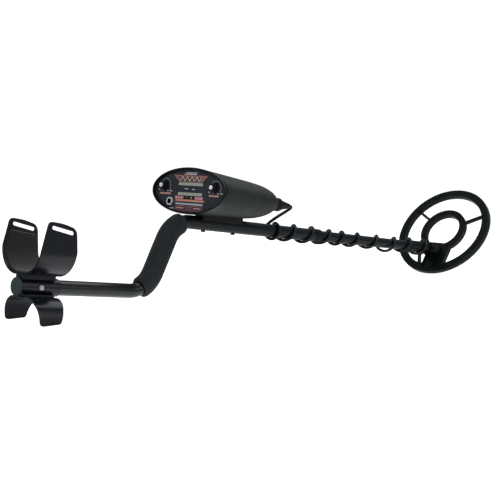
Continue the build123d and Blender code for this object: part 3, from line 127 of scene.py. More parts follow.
def winding_point(step):
    """One corner of the wound route, over the stem, down its left and up its right."""
    turn = step / POINTS_PER_TURN
    whole = min(int(turn), len(WIND_TOPS_X) - 2)
    x = WIND_TOPS_X[whole] + (turn - whole) * (WIND_TOPS_X[whole + 1] - WIND_TOPS_X[whole])
    angle = 2 * math.pi * turn
    return x, winding_radius(x) * math.sin(angle), winding_radius(x) * math.cos(angle)


def nurbs_line(name, route):
    """The smooth line that a route's points control, as a list of points."""
    curve = bpy.data.curves.new(name, "CURVE")
    curve.dimensions = "3D"
    curve.resolution_u = CURVE_RESOLUTION
    spline = curve.splines.new("NURBS")
    spline.points.add(len(route) - 1)
    for point, place in zip(spline.points, route):
        point.co = (*place, 1)
    spline.order_u = CURVE_ORDER
    spline.use_endpoint_u = True
    holder = bpy.data.objects.new(name, curve)
    line = [v.co.copy() for v in bpy.data.meshes.new_from_object(holder).vertices]
    bpy.data.objects.remove(holder)
    bpy.data.curves.remove(curve)
    return line


def tube(name, line, radius):
    """A closed round tube of one radius, in metres, along a line."""
    points, faces = [], []
    before, after = [line[0]] + line[:-1], line[1:] + [line[-1]]
    tangents = [(b - a).normalized() for a, b in zip(before, after)]
    side = tangents[0].orthogonal().normalized()
    for centre, tangent in zip(line, tangents):
        side = (side - tangent * side.dot(tangent)).normalized()
        other = tangent.cross(side)
        for k in range(TUBE_SIDES):
            angle = 2 * math.pi * k / TUBE_SIDES
            points.append(centre + (side * math.cos(angle) + other * math.sin(angle)) * radius)
    for ring in range(len(line) - 1):
        for k in range(TUBE_SIDES):
            a, b = ring * TUBE_SIDES + k, ring * TUBE_SIDES + (k + 1) % TUBE_SIDES
            faces.append((a, b, b + TUBE_SIDES, a + TUBE_SIDES))
    faces.append(tuple(range(TUBE_SIDES)))
    faces.append(tuple(len(points) - TUBE_SIDES + k for k in range(TUBE_SIDES)))
    return mesh_object(name, points, faces)


wound = [stem(*winding_point(step)) for step in range(FIRST_STEP, LAST_STEP)]
tip_route = [stem(*p) for p in TIP_END_POINTS]
tail_start = (wound[-1] + tip_route[0]) / 2
cable_line = nurbs_line("cable_line", [stem(*p) for p in PLUG_END_POINTS] + wound + [tail_start])
tail_line = nurbs_line("tail_line", [tail_start] + tip_route)

coil_cable = tube("coil_cable", cable_line, CABLE_R * MM)
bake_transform(coil_cable)
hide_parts("cable_upper", "cable_lower")
coil_cable_tail = tube("coil_cable_tail", tail_line, CABLE_R * MM)
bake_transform(coil_cable_tail)
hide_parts("cable_tail")

# ---------------------------------------------------------------- foam grip
REAR_Z = -113.3
REAR_CORNER_X, FRONT_CORNER_X = -68.8, -23.0
BEND_R = 48.0
RISE = math.atan2(-REAR_Z, FRONT_CORNER_X - REAR_CORNER_X)
GRIP_LOW_TURN, GRIP_HIGH_TURN = math.radians(27.0), math.radians(22.0)
GRIP_R, GRIP_HOLE_R = 17.0, 11.4
GRIP_SIDES = 72
END_PROFILE = [(0.1, 11.4), (0.1, 13.2), (0.15, 15.0), (0.5, 15.9), (1.3, 16.6), (2.4, 16.9)]
SKIN_STEPS, SKIN_MARGIN, SKIN_SINK = 150, 4.0, 0.25
SKIN_FROM_R = 16.5  # rings from this radius on carry the uneven skin
BORE_STEPS, BORE_MARGIN = 40, 0.1
FOLD_REACH = 1.1  # share of a bend's length over which its folds fade
LOW_FOLD, LOW_FOLD_RUN = 0.16, 3.4
HIGH_FOLD, HIGH_FOLD_RUN = 0.2, 4.1
SKIN_UNEVEN, SKIN_UNEVEN_RUN, SKIN_UNEVEN_ROUND = 0.13, 21.0, 2.2


def grip_place(s, bend_length, straight):
    """Centre and direction of the rod, in the stem frame, s millimetres along the foam."""
    reach = BEND_R * math.tan(RISE / 2)
    if s < bend_length:
        turn = GRIP_LOW_TURN + s / BEND_R
        x = REAR_CORNER_X - reach + BEND_R * math.sin(turn)
        return (x, REAR_Z + BEND_R - BEND_R * math.cos(turn)), turn
    if s < bend_length + straight:
        run = s - bend_length
        start = (REAR_CORNER_X + reach * math.cos(RISE), REAR_Z + reach * math.sin(RISE))
        return (start[0] + run * math.cos(RISE), start[1] + run * math.sin(RISE)), RISE
    turn = RISE - (s - bend_length - straight) / BEND_R
    return (FRONT_CORNER_X + reach - BEND_R * math.sin(turn), BEND_R * math.cos(turn) - BEND_R), turn


def make_foam():
    """The foam sleeve: round ends, a slightly uneven skin and shallow folds inside its two bends."""
    low_bend = BEND_R * (RISE - GRIP_LOW_TURN)
    high_bend = BEND_R * (RISE - GRIP_HIGH_TURN)
    straight = math.hypot(-REAR_Z, FRONT_CORNER_X - REAR_CORNER_X) - 2 * BEND_R * math.tan(RISE / 2)
    length = low_bend + straight + high_bend
    skin_length = length - 2 * SKIN_MARGIN
    middle = [(SKIN_MARGIN + i * skin_length / SKIN_STEPS, GRIP_R) for i in range(SKIN_STEPS + 1)]
    rings = END_PROFILE + middle + [(length - s, r) for s, r in reversed(END_PROFILE)]
    points, faces = [], []
    for s, radius in rings:
        (x, z), turn = grip_place(s, low_bend, straight)
        left = length - s
        inside_low = max(0, 1 - s / (low_bend * FOLD_REACH)) * math.sin(s / LOW_FOLD_RUN)
        inside_high = max(0, 1 - left / (high_bend * FOLD_REACH)) * math.sin(left / HIGH_FOLD_RUN)
        for k in range(GRIP_SIDES):
            angle = 2 * math.pi * k / GRIP_SIDES
            out = math.cos(angle)  # 1 on the rod's upper side
            fold = LOW_FOLD * inside_low * max(0, out) + HIGH_FOLD * inside_high * max(0, -out)
            round_place = SKIN_UNEVEN_ROUND * math.cos(angle), SKIN_UNEVEN_ROUND * math.sin(angle)
            uneven = SKIN_UNEVEN * noise.noise(Vector((s / SKIN_UNEVEN_RUN, *round_place)))
            r = radius if radius < SKIN_FROM_R else radius - SKIN_SINK + fold + uneven
            points.append(
                stem(x - r * out * math.sin(turn), r * math.sin(angle), z + r * out * math.cos(turn))
            )
    # the bore is a sleeve along the rod, from the last ring back to the first
    bore_length = length - 2 * BORE_MARGIN
    bore = [length - (BORE_MARGIN + i * bore_length / BORE_STEPS) for i in range(1, BORE_STEPS)]
    for s in bore:
        (x, z), turn = grip_place(s, low_bend, straight)
        for k in range(GRIP_SIDES):
            angle = 2 * math.pi * k / GRIP_SIDES
            out = math.cos(angle) * GRIP_HOLE_R
            y = GRIP_HOLE_R * math.sin(angle)
            points.append(stem(x - out * math.sin(turn), y, z + out * math.cos(turn)))
    starts = [i * GRIP_SIDES for i in range(len(rings) + len(bore))] + [0]
    for a, b in zip(starts, starts[1:]):
        for k in range(GRIP_SIDES):
            after = (k + 1) % GRIP_SIDES
            faces.append((a + k, a + after, b + after, b + k))
    return mesh_object("foam_sleeve", points, faces)


foam_sleeve = make_foam()
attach(foam_sleeve, "frame")
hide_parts("foam_grip")

# ---------------------------------------------------------------- arm pad, glued inside the cup
CUP_HALF = 44.4  # inside the cup's wall
CUP_ARC_R = 36.9
CUP_FLOOR_Z = -93.9
PAD_BODY = 1.8  # thickness between the pad's rim and its nap
PAD_TOP = ((-292.5, -36.5), (-246.5, -41.5))
PAD_CORNER = 6.0
PAD_COLUMNS, PAD_ROWS = 64, 190
PAD_CORNER_SHARE = 0.26  # share of the half width that the round corners take
PAD_HALF_WIDTH, PAD_EDGE_R = 26.0, 2.2
PAD_BACK, PAD_RIM = 0.1, 0.4
NAP_WAVES = ((0.12, 7.0, 0.3), (0.05, 1.7, 4.0))  # depth, grain size and place in the noise
PAD_REAR_X, PAD_REAR_SHIFT = -299.2, 5.4
PAD_FRONT_X, PAD_FRONT_SHIFT = -243.3, -2.6
PAD_SHIFT_Z, PAD_SHIFT_RISE = -60.0, 18.0


def pad_edges(z):
    """Rear and front limit of the pad along the rod at a height."""
    share = min(1, max(0, (z - PAD_SHIFT_Z) / PAD_SHIFT_RISE))
    return PAD_REAR_X + PAD_REAR_SHIFT * share, PAD_FRONT_X + PAD_FRONT_SHIFT * share


def cup_point(s, offset):
    """A point (y, z) of the cup's inner side, s millimetres from its lowest line, offset inwards."""
    side = 1 if s > 0 else -1
    s = abs(s)
    flat = CUP_HALF - CUP_ARC_R
    quarter = CUP_ARC_R * math.pi / 2
    if s < flat:
        return side * s, CUP_FLOOR_Z + offset
    if s < flat + quarter:
        turn = (s - flat) / CUP_ARC_R
        r = CUP_ARC_R - offset
        return side * (flat + r * math.sin(turn)), CUP_FLOOR_Z + CUP_ARC_R - r * math.cos(turn)
    return side * (CUP_HALF - offset), CUP_FLOOR_Z + CUP_ARC_R + s - flat - quarter


def make_pad():
    """A closed slab that follows the cup, with soft edges and a nap that wanders a little."""
    flat, quarter = CUP_HALF - CUP_ARC_R, CUP_ARC_R * math.pi / 2
    points, faces = [], []
    for layer in (0, 1):
        for row in range(PAD_ROWS + 1):
            for column in range(PAD_COLUMNS + 1):
                u = 2 * column / PAD_COLUMNS - 1
                corner = max(0, (abs(u) - 1 + PAD_CORNER_SHARE) / PAD_CORNER_SHARE)
                top = PAD_TOP[0][1] + (PAD_TOP[1][1] - PAD_TOP[0][1]) * (u + 1) / 2
                top -= PAD_CORNER * (1 - math.sqrt(max(0, 1 - corner**2)))
                half = flat + quarter + top - CUP_FLOOR_Z - CUP_ARC_R
                v = 2 * row / PAD_ROWS - 1
                s = half * v
                height = cup_point(s, 0)[1]
                rear, front = pad_edges(height)
                x = (rear + front) / 2 + u * (front - rear) / 2
                inset = min((1 - abs(u)) * PAD_HALF_WIDTH, (1 - abs(v)) * half)
                edge = math.sqrt(max(0, 1 - (1 - min(1, inset / PAD_EDGE_R)) ** 2))
                nap = sum(d * noise.noise(Vector((x / size, s / size, at))) for d, size, at in NAP_WAVES)
                offset = PAD_BACK if layer == 0 else PAD_RIM + (PAD_BODY + nap) * edge
                y, z = cup_point(s, offset)
                points.append(stem(x, y, z))
    wide = PAD_COLUMNS + 1
    layer_size = wide * (PAD_ROWS + 1)
    for row in range(PAD_ROWS):
        for column in range(PAD_COLUMNS):
            a = row * wide + column
            for base in (0, layer_size):
                faces.append((base + a, base + a + 1, base + a + 1 + wide, base + a + wide))
    border = [c for c in range(wide)] + [r * wide + PAD_COLUMNS for r in range(1, PAD_ROWS + 1)]
    border += [PAD_ROWS * wide + c for c in range(PAD_COLUMNS - 1, -1, -1)]
    border += [r * wide for r in range(PAD_ROWS - 1, 0, -1)]
    for a, b in zip(border, border[1:] + border[:1]):
        faces.append((a, b, b + layer_size, a + layer_size))
    return mesh_object("cup_lining", points, faces)


cup_lining = make_pad()
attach(cup_lining, "frame")
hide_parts("arm_pad")

# ---------------------------------------------------------------- pale bead round the coil's two shells, a painted highlight along their split
COIL_CENTRE = (733.1, 0, 40.4)
COIL_ANGLE = math.radians(59.8)
COIL_SPLIT = -5.45
SEAM_RADII = (101.6, 49.6)
SEAM_R, SEAM_SINK = 0.28, 0.12
SEAM_UNEVEN, SEAM_UNEVEN_ROUND = 0.06, 9.0
SEAM_STEPS, SEAM_SIDES = 180, 8
COIL_ALONG = (math.cos(COIL_ANGLE), math.sin(COIL_ANGLE))


def coil_point(e, y, height):
    """A point of the coil's own plane, e along it, y to the left and a height above its top face."""
    x = COIL_CENTRE[0] + e * COIL_ALONG[0] - height * COIL_ALONG[1]
    return stem(x, y, COIL_CENTRE[2] + e * COIL_ALONG[1] + height * COIL_ALONG[0])


def make_seams():
    """A thin pale bead where the two shells meet; its pale colour is a painted highlight along the shells'
    edges.
    """
    points, faces = [], []
    for ring_radius in SEAM_RADII:
        base = len(points)
        for step in range(SEAM_STEPS):
            turn = 2 * math.pi * step / SEAM_STEPS
            round_place = SEAM_UNEVEN_ROUND * math.cos(turn), SEAM_UNEVEN_ROUND * math.sin(turn)
            bead = SEAM_R + SEAM_UNEVEN * noise.noise(Vector((*round_place, ring_radius)))
            for k in range(SEAM_SIDES):
                angle = 2 * math.pi * k / SEAM_SIDES
                r = ring_radius - SEAM_SINK + bead * math.cos(angle)
                height = COIL_SPLIT + bead * math.sin(angle)
                points.append(coil_point(r * math.cos(turn), r * math.sin(turn), height))
        for step in range(SEAM_STEPS):
            near, far = base + step * SEAM_SIDES, base + (step + 1) % SEAM_STEPS * SEAM_SIDES
            for k in range(SEAM_SIDES):
                after = (k + 1) % SEAM_SIDES
                faces.append((near + k, near + after, far + after, far + k))
    return mesh_object("coil_seam_highlight", points, faces)


coil_seam_highlight = make_seams()
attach(coil_seam_highlight, "coil")

# ---------------------------------------------------------------- printed marks on the control face
LABEL_X = 5.3
PRINT_HEIGHT = 0.12
PRINT_SINK = 0.04
DOT_SIDES = 20


def bar(y, z, width, height, corner=0.5, lean=0.0):
    """Outline of a bar with cut corners; lean pushes its top sideways."""
    w, h, c = width / 2, height / 2, min(corner, height / 2.2, width / 2.2)
    right = [(w - c, -h), (w, -h + c), (w, h - c), (w - c, h)]
    corners = [(-w + c, -h), *right, (-w + c, h), (-w, h - c), (-w, -h + c)]
    return [(y + a + lean * (b + h) / height, z + b) for a, b in corners]


def disc(y, z, radius):
    """Outline of a round dot."""
    turns = [2 * math.pi * k / DOT_SIDES for k in range(DOT_SIDES)]
    return [(y + radius * math.cos(t), z + radius * math.sin(t)) for t in turns]


def arc(y, z, radius, width, first, last, steps=28):
    """Outline of a part of a ring, between two angles in degrees."""
    turns = [math.radians(first + (last - first) * k / steps) for k in range(steps + 1)]
    outer = [(y + (radius + width / 2) * math.cos(t), z + (radius + width / 2) * math.sin(t)) for t in turns]
    inner = [(y + (radius - width / 2) * math.cos(t), z + (radius - width / 2) * math.sin(t)) for t in turns]
    return outer + inner[::-1]


def row_of(shape, count, first_y, step_y, z, *sizes):
    """The same outline repeated along a row."""
    return [shape(first_y + step_y * k, z, *sizes) for k in range(count)]


def print_marks(name, outlines, front=PRINT_HEIGHT, at_x=LABEL_X):
    """Thin raised print on the face sheet, one prism for each outline of (y, z) points."""
    points, faces = [], []
    for outline in outlines:
        base, count = len(points), len(outline)
        points += [stem(at_x - front, y, z) for y, z in outline]
        points += [stem(at_x + PRINT_SINK, y, z) for y, z in outline]
        faces.append(tuple(base + k for k in range(count)))
        faces.append(tuple(base + count + k for k in reversed(range(count))))
        for k in range(count):
            after = (k + 1) % count
            faces.append((base + k, base + after, base + count + after, base + count + k))
    piece = mesh_object(name, points, faces, smooth=False)
    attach(piece, "frame")
    return piece


KNOB_Y, KNOB_Z = 57.0, 55.6
SCALE_R, SCALE_TICK_R = 11.0, 12.3
SECOND_LAYER, THIRD_LAYER, GLASS_LAYER = 0.17, 0.21, 0.07  # heights of print over other print or a window
print_marks("badge_frame", [[(40.7, 73.6), (-37.6, 73.6), (-25.5, 62.9), (25.8, 62.9)]])
print_marks(
    "badge_field", [[(31.0, 71.2), (-27.6, 71.2), (-20.6, 63.9), (21.4, 63.9)]], front=SECOND_LAYER
)
CHEVRONS, CHEVRON_Y, CHEVRON_STEP, CHEVRON_SLANT, CHEVRON_HALF = 9, 22.0, 5.4, 2.6, 0.8
CHEVRON_TOP_Z, CHEVRON_FOOT_Z = 71.6, 64.2
chevrons = []
for k in range(CHEVRONS):
    middle = CHEVRON_Y - CHEVRON_STEP * k
    slant = CHEVRON_SLANT if k % 2 else -CHEVRON_SLANT
    ends = (middle + slant, CHEVRON_TOP_Z, 1), (middle - slant, CHEVRON_FOOT_Z, -1)
    chevrons.append([(y + way * turn * CHEVRON_HALF, z) for y, z, way in ends for turn in (1, -1)])
print_marks("badge_marks", chevrons, front=THIRD_LAYER)
white_print = [bar(-1.0, 77.6, 25.0, 0.7, 0.3)]
white_print += row_of(bar, 6, 13.5, -4.6, 75.3, 3.4, 1.5, 0.4, 0.5)
for side in (1, -1):
    centre = side * KNOB_Y
    white_print += [disc(centre + 5.6, 47.0, 0.75), disc(centre - 5.6, 47.0, 0.95)]
    white_print += row_of(bar, 3, centre - 10.8, -2.1, 47.2, 1.5, 1.1, 0.2)
    white_print += [bar(centre + 14.0, 48.6, 0.6, 3.0, 0.2, 1.6)]
    white_print += [bar(centre + 12.6, 47.6, 1.6, 0.6, 0.2)]
white_print += row_of(bar, 4, 5.2, 2.3, 52.0, 1.6, 1.0, 0.2) + row_of(bar, 3, -5.2, -2.3, 51.4, 1.6, 1.0, 0.2)
white_print += row_of(bar, 5, 46.0, -2.9, 20.0, 2.2, 1.2, 0.3)
print_marks("face_print_white", white_print)
print_marks(
    "knob_scales",
    [arc(side * KNOB_Y, KNOB_Z, SCALE_R, 0.7, -32, 212) for side in (1, -1)]
    + [
        arc(side * KNOB_Y, KNOB_Z, SCALE_TICK_R, 1.5, angle - 1.0, angle + 1.0, 1)
        for side in (1, -1)
        for angle in range(-30, 211, 30)
    ],
)
orange_print = [bar(0.0, 33.3, 64.0, 3.7, 0.5), [(-32.0, 35.1), (-35.4, 33.3), (-32.0, 31.5)]]
print_marks("face_print_orange", orange_print)
knob_labels = [bar(57.0, 43.0, 26.0, 3.0, 0.8), bar(-54.0, 43.0, 22.0, 2.9, 0.8)]
print_marks("face_print_labels", knob_labels)
pink_print = [bar(23.6, 37.9, 19.6, 4.4, 0.5), bar(-21.4, 37.9, 18.6, 4.4, 0.5)]
print_marks("face_print_pink", pink_print)
print_marks("face_print_black", [bar(1.2, 37.9, 24.0, 4.4, 0.4)])
key_frame = [bar(0.0, 24.9, 60.0, 0.8, 0.3), bar(0.0, 17.4, 56.0, 0.7, 0.3)]
key_frame += [bar(side * 30.6, 21.1, 0.8, 7.4, 0.3) for side in (1, -1)]
key_frame += row_of(bar, 4, 6.6, -4.4, 22.4, 3.0, 1.3, 0.3) + row_of(bar, 3, 4.4, -4.4, 19.8, 3.0, 1.3, 0.3)
print_marks("face_print_keys", key_frame)
print_marks("face_print_blue", [bar(0.0, 27.8, 62.0, 2.5, 0.4)])
ICON_Y = (30.0, 24.0, 18.0, -15.6, -21.6, -27.4)
icon_marks = [disc(y, 38.1, 0.85) for y in ICON_Y]
icon_marks += [disc(-4.2, 38.0, 0.95), disc(5.6, 38.4, 0.5)]
icon_marks += [bar(y, 36.4, 2.6, 0.5, 0.2) for y in ICON_Y]
print_marks("face_print_icons", icon_marks, front=SECOND_LAYER)
ticks = row_of(bar, 13, 27.0, -4.5, 33.3, 2.4, 0.9, 0.2) + row_of(bar, 15, 28.0, -4.0, 27.8, 2.2, 0.8, 0.2)
ticks += row_of(bar, 5, 65.0, -4.0, 43.0, 2.6, 1.0, 0.3) + row_of(bar, 5, -46.4, -3.8, 43.0, 2.6, 1.0, 0.3)
print_marks("face_print_ticks", ticks, front=SECOND_LAYER)
segments = row_of(bar, 9, 22.0, -4.4, 59.6, 2.9, 0.5, 0.2) + [bar(-23.6, 59.4, 1.0, 3.0, 0.2)]
segments += [bar(15.4, 43.6, 1.0, 3.2, 0.2)] + row_of(bar, 6, 8.0, -5.2, 43.2, 3.2, 0.5, 0.2)
print_marks("display_segments", segments, front=GLASS_LAYER)
KEY_FRONT_X, KEY_Y, KEY_Z = 4.9, 19.5, 21.1
for side, name in ((1, "left"), (-1, "right")):
    marks = row_of(bar, 4, side * KEY_Y + 6.0, -4.0, KEY_Z + 0.3, 2.4, 1.9, 0.5)
    key_print = print_marks(f"key_print_{name}", marks, at_x=KEY_FRONT_X)
    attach(key_print, f"{name}_key")

# ---------------------------------------------------------------- materials
MATERIALS = {}
SCUFF_COLOUR, SCUFF_MM, SCUFF_STRETCH = (92, 94, 96), 3.0, (0.25, 1.0, 1.3)
SCUFF_START, SCUFF_STOP = 0.62, 0.75  # the part of the noise's range that shows as scuffs
INK_PALER = 10  # how much lighter an ink's patches are
SHARP_ANGLE = math.radians(32)


def linear(red, green, blue):
    """A colour written as it looks, 0 to 255, in the renderer's linear values."""
    def one(value):
        value /= 255
        return value / 12.92 if value <= 0.04045 else ((value + 0.055) / 1.055) ** 2.4
    return (one(red), one(green), one(blue), 1.0)


def shader_tree(name):
    """A new material with its output, its shader and a coordinate in the row frame."""
    material = bpy.data.materials.new(name)
    material.use_nodes = True
    tree = material.node_tree
    shader = tree.nodes["Principled BSDF"]
    place = tree.nodes.new("ShaderNodeTexCoord")
    return material, tree, shader, place.outputs["Object"]


def speckle(tree, place, size_mm, detail=3.0, stretch=(1, 1, 1), kind="noise"):
    """A noise whose grains are about size_mm across, as a value output."""
    mapping = tree.nodes.new("ShaderNodeMapping")
    mapping.inputs["Scale"].default_value = [factor / (size_mm * MM) for factor in stretch]
    tree.links.new(place, mapping.inputs["Vector"])
    if kind == "cells":
        texture = tree.nodes.new("ShaderNodeTexVoronoi")
        texture.inputs["Scale"].default_value = 1.0
        tree.links.new(mapping.outputs["Vector"], texture.inputs["Vector"])
        return texture.outputs["Distance"]
    texture = tree.nodes.new("ShaderNodeTexNoise")
    texture.inputs["Scale"].default_value = 1.0
    texture.inputs["Detail"].default_value = detail
    tree.links.new(mapping.outputs["Vector"], texture.inputs["Vector"])
    return texture.outputs["Fac"]


def spread(tree, value, low, high, start=0.3, stop=0.7):
    """Maps a noise's middle range to low..high."""
    node = tree.nodes.new("ShaderNodeMapRange")
    node.inputs["From Min"].default_value = start
    node.inputs["From Max"].default_value = stop
    node.inputs["To Min"].default_value = low
    node.inputs["To Max"].default_value = high
    tree.links.new(value, node.inputs["Value"])
    return node.outputs["Result"]


def surface(
    name,
    colour,
    second,
    patch_mm=30.0,
    rough=(0.4, 0.5),
    rough_mm=12.0,
    grains=((0.5, 0.2, 0.03, "noise"),),
    metallic=0.0,
    coat=0.0,
    coat_rough=0.2,
    sheen=0.0,
    specular=0.28,
    stretch=(1, 1, 1),
    scuffs=0.0,
):
    """A finish with colour patches, an uneven gloss, one or more grains in relief and faint scuffs.
    Each grain is (size in mm, strength, depth in mm, kind)."""
    material, tree, shader, place = shader_tree(name)
    mix = tree.nodes.new("ShaderNodeMix")
    mix.data_type = "RGBA"
    mix.inputs["A"].default_value = colour
    mix.inputs["B"].default_value = second
    tree.links.new(spread(tree, speckle(tree, place, patch_mm, 4.0, stretch), 0, 1), mix.inputs["Factor"])
    tint = mix.outputs["Result"]
    gloss = spread(tree, speckle(tree, place, rough_mm, 4.0, stretch), rough[0], rough[1])
    if scuffs:
        scratches = speckle(tree, place, SCUFF_MM, 6.0, SCUFF_STRETCH)
        marks = spread(tree, scratches, 0, scuffs, SCUFF_START, SCUFF_STOP)
        lighter = tree.nodes.new("ShaderNodeMix")
        lighter.data_type = "RGBA"
        lighter.inputs["B"].default_value = linear(*SCUFF_COLOUR)
        tree.links.new(marks, lighter.inputs["Factor"])
        tree.links.new(tint, lighter.inputs["A"])
        tint = lighter.outputs["Result"]
    tree.links.new(tint, shader.inputs["Base Color"])
    tree.links.new(gloss, shader.inputs["Roughness"])
    normal = None
    for size_mm, strength, depth_mm, kind in grains:
        bump = tree.nodes.new("ShaderNodeBump")
        bump.inputs["Strength"].default_value = strength
        bump.inputs["Distance"].default_value = depth_mm * MM
        tree.links.new(speckle(tree, place, size_mm, 3.0, stretch, kind), bump.inputs["Height"])
        if normal is not None:
            tree.links.new(normal, bump.inputs["Normal"])
        normal = bump.outputs["Normal"]
    if normal is not None:
        tree.links.new(normal, shader.inputs["Normal"])
    shader.inputs["Metallic"].default_value = metallic
    shader.inputs["Coat Weight"].default_value = coat
    shader.inputs["Coat Roughness"].default_value = coat_rough
    shader.inputs["Sheen Weight"].default_value = sheen
    shader.inputs["Specular IOR Level"].default_value = specular
    MATERIALS[name] = material
    return material


# painted tubes: semi-gloss with a faint orange peel
surface(
    "tube_paint",
    linear(5, 8, 10),
    linear(8, 12, 14),
    patch_mm=40,
    rough=(0.22, 0.3),
    rough_mm=25,
    grains=(
        (1.6, 0.25, 0.02, "noise"),
        (0.25, 0.15, 0.01, "noise"),
    ),
    coat=0.25,
    coat_rough=0.22,
    scuffs=0.25,
)
surface(
    "foam_skin",
    linear(26, 30, 31),
    linear(33, 38, 39),
    patch_mm=9,
    rough=(0.86, 0.96),
    rough_mm=6,
    grains=(
        (0.55, 0.7, 0.16, "cells"),
        (1.6, 0.5, 0.18, "noise"),
        (0.2, 0.4, 0.05, "noise"),
    ),
    sheen=0.12,
    specular=0.25,
)
surface(
    "cup_moulding",
    linear(5, 8, 16),
    linear(9, 13, 22),
    patch_mm=45,
    rough=(0.2, 0.27),
    rough_mm=20,
    grains=(
        (0.35, 0.25, 0.012, "noise"),
        (14, 0.12, 0.08, "noise"),
    ),
    coat=0.12,
    coat_rough=0.35,
    scuffs=0.3,
)
surface(
    "pad_textile",
    linear(17, 17, 16),
    linear(42, 40, 37),
    patch_mm=2.2,
    rough=(0.92, 1.0),
    rough_mm=5,
    grains=(
        (0.9, 1.0, 0.35, "noise"),
        (0.4, 0.9, 0.2, "cells"),
        (5.0, 0.4, 0.35, "noise"),
    ),
    sheen=0.35,
    specular=0.12,
)
surface(
    "cap_slate",
    linear(48, 57, 60),
    linear(56, 65, 68),
    patch_mm=9,
    rough=(0.5, 0.6),
    rough_mm=6,
    grains=((0.4, 0.3, 0.02, "noise"),),
)
surface(
    "housing_plastic",
    linear(19, 20, 17),
    linear(27, 28, 24),
    patch_mm=28,
    rough=(0.42, 0.52),
    rough_mm=18,
    grains=(
        (0.75, 0.55, 0.05, "cells"),
        (0.3, 0.3, 0.02, "noise"),
    ),
    specular=0.6,
    scuffs=0.22,
)
surface(
    "panel_rim",
    linear(8, 9, 12),
    linear(13, 14, 17),
    patch_mm=14,
    rough=(0.26, 0.36),
    rough_mm=8,
    grains=((0.5, 0.2, 0.01, "noise"),),
    coat=0.3,
)
surface(
    "label_print",
    linear(43, 46, 50),
    linear(50, 53, 57),
    patch_mm=16,
    rough=(0.42, 0.52),
    rough_mm=9,
    grains=((0.3, 0.2, 0.01, "noise"),),
)
surface(
    "knob_plastic",
    linear(19, 18, 18),
    linear(27, 26, 25),
    patch_mm=5,
    rough=(0.34, 0.46),
    rough_mm=3,
    grains=((0.3, 0.25, 0.015, "noise"),),
)
surface(
    "white_plastic",
    linear(236, 236, 234),
    linear(246, 246, 246),
    patch_mm=3,
    rough=(0.25, 0.35),
    rough_mm=3,
    grains=((0.3, 0.1, 0.01, "noise"),),
    coat=0.4,
)
surface(
    "black_moulding",
    linear(14, 15, 16),
    linear(20, 21, 22),
    patch_mm=12,
    rough=(0.38, 0.5),
    rough_mm=7,
    grains=((0.4, 0.35, 0.02, "noise"),),
    scuffs=0.2,
)
surface(
    "tip_moulding",
    linear(6, 8, 9),
    linear(10, 13, 14),
    patch_mm=16,
    rough=(0.3, 0.4),
    rough_mm=9,
    grains=((0.4, 0.3, 0.015, "noise"),),
    coat=0.2,
)
surface(
    "coil_moulding",
    linear(6, 11, 11),
    linear(11, 17, 16),
    patch_mm=26,
    rough=(0.28, 0.36),
    rough_mm=14,
    grains=(
        (0.5, 0.4, 0.03, "noise"),
        (9, 0.15, 0.05, "noise"),
    ),
    scuffs=0.3,
)
# the coil's seam bead: its pale colour is a painted highlight along the shells' edges
surface(
    "seam_highlight_paint",
    linear(84, 96, 96),
    linear(104, 116, 116),
    patch_mm=14,
    rough=(0.2, 0.4),
    rough_mm=9,
    grains=((0.6, 0.3, 0.02, "noise"),),
    coat=0.5,
)
surface(
    "cable_jacket",
    linear(10, 11, 13),
    linear(15, 17, 19),
    patch_mm=18,
    rough=(0.3, 0.4),
    rough_mm=9,
    grains=((0.8, 0.2, 0.015, "noise"),),
    coat=0.2,
)
surface(
    "gland_rubber",
    linear(22, 23, 24),
    linear(29, 30, 31),
    patch_mm=8,
    rough=(0.5, 0.6),
    rough_mm=5,
    grains=((0.35, 0.35, 0.02, "noise"),),
)
surface(
    "bright_steel",
    linear(196, 196, 192),
    linear(214, 214, 210),
    patch_mm=3,
    rough=(0.2, 0.34),
    rough_mm=1.5,
    grains=((0.2, 0.25, 0.008, "noise"),),
    metallic=1.0,
    stretch=(1, 1, 3),
)
surface(
    "chromed_nut",
    linear(228, 226, 220),
    linear(238, 236, 230),
    patch_mm=3,
    rough=(0.3, 0.4),
    rough_mm=2,
    grains=((0.4, 0.1, 0.005, "noise"),),
    metallic=0.35,
)
surface(
    "dark_steel",
    linear(30, 31, 32),
    linear(42, 42, 42),
    patch_mm=3,
    rough=(0.34, 0.46),
    rough_mm=2,
    grains=((0.25, 0.3, 0.01, "noise"),),
    metallic=0.7,
)
surface(
    "tinned_metal",
    linear(168, 170, 170),
    linear(186, 187, 186),
    patch_mm=5,
    rough=(0.3, 0.42),
    rough_mm=3,
    grains=((0.3, 0.3, 0.01, "noise"),),
    metallic=1.0,
)
surface(
    "shaft_aluminium",
    linear(190, 192, 196),
    linear(205, 206, 209),
    patch_mm=3,
    rough=(0.25, 0.35),
    rough_mm=2,
    grains=((0.15, 0.3, 0.01, "noise"),),
    metallic=1.0,
)
surface(
    "solder_mask",
    linear(18, 74, 44),
    linear(26, 92, 55),
    patch_mm=4,
    rough=(0.3, 0.42),
    rough_mm=3,
    grains=((0.5, 0.3, 0.02, "noise"),),
    coat=0.3,
)
surface(
    "red_lens",
    linear(58, 14, 20),
    linear(76, 16, 22),
    patch_mm=1,
    rough=(0.12, 0.2),
    rough_mm=1,
    grains=((0.3, 0.1, 0.01, "noise"),),
    coat=0.6,
)
surface(
    "speaker_paper",
    linear(38, 37, 35),
    linear(50, 48, 45),
    patch_mm=2,
    rough=(0.85, 0.95),
    rough_mm=2,
    grains=((0.3, 0.6, 0.04, "noise"),),
)
surface(
    "battery_jacket",
    linear(40, 46, 58),
    linear(54, 60, 72),
    patch_mm=9,
    rough=(0.3, 0.4),
    rough_mm=5,
    grains=((0.5, 0.2, 0.01, "noise"),),
    metallic=0.4,
)
surface(
    "copper_winding",
    linear(150, 84, 48),
    linear(176, 104, 62),
    patch_mm=0.5,
    rough=(0.3, 0.45),
    rough_mm=1,
    grains=((0.25, 0.8, 0.05, "noise"),),
    metallic=0.8,
)
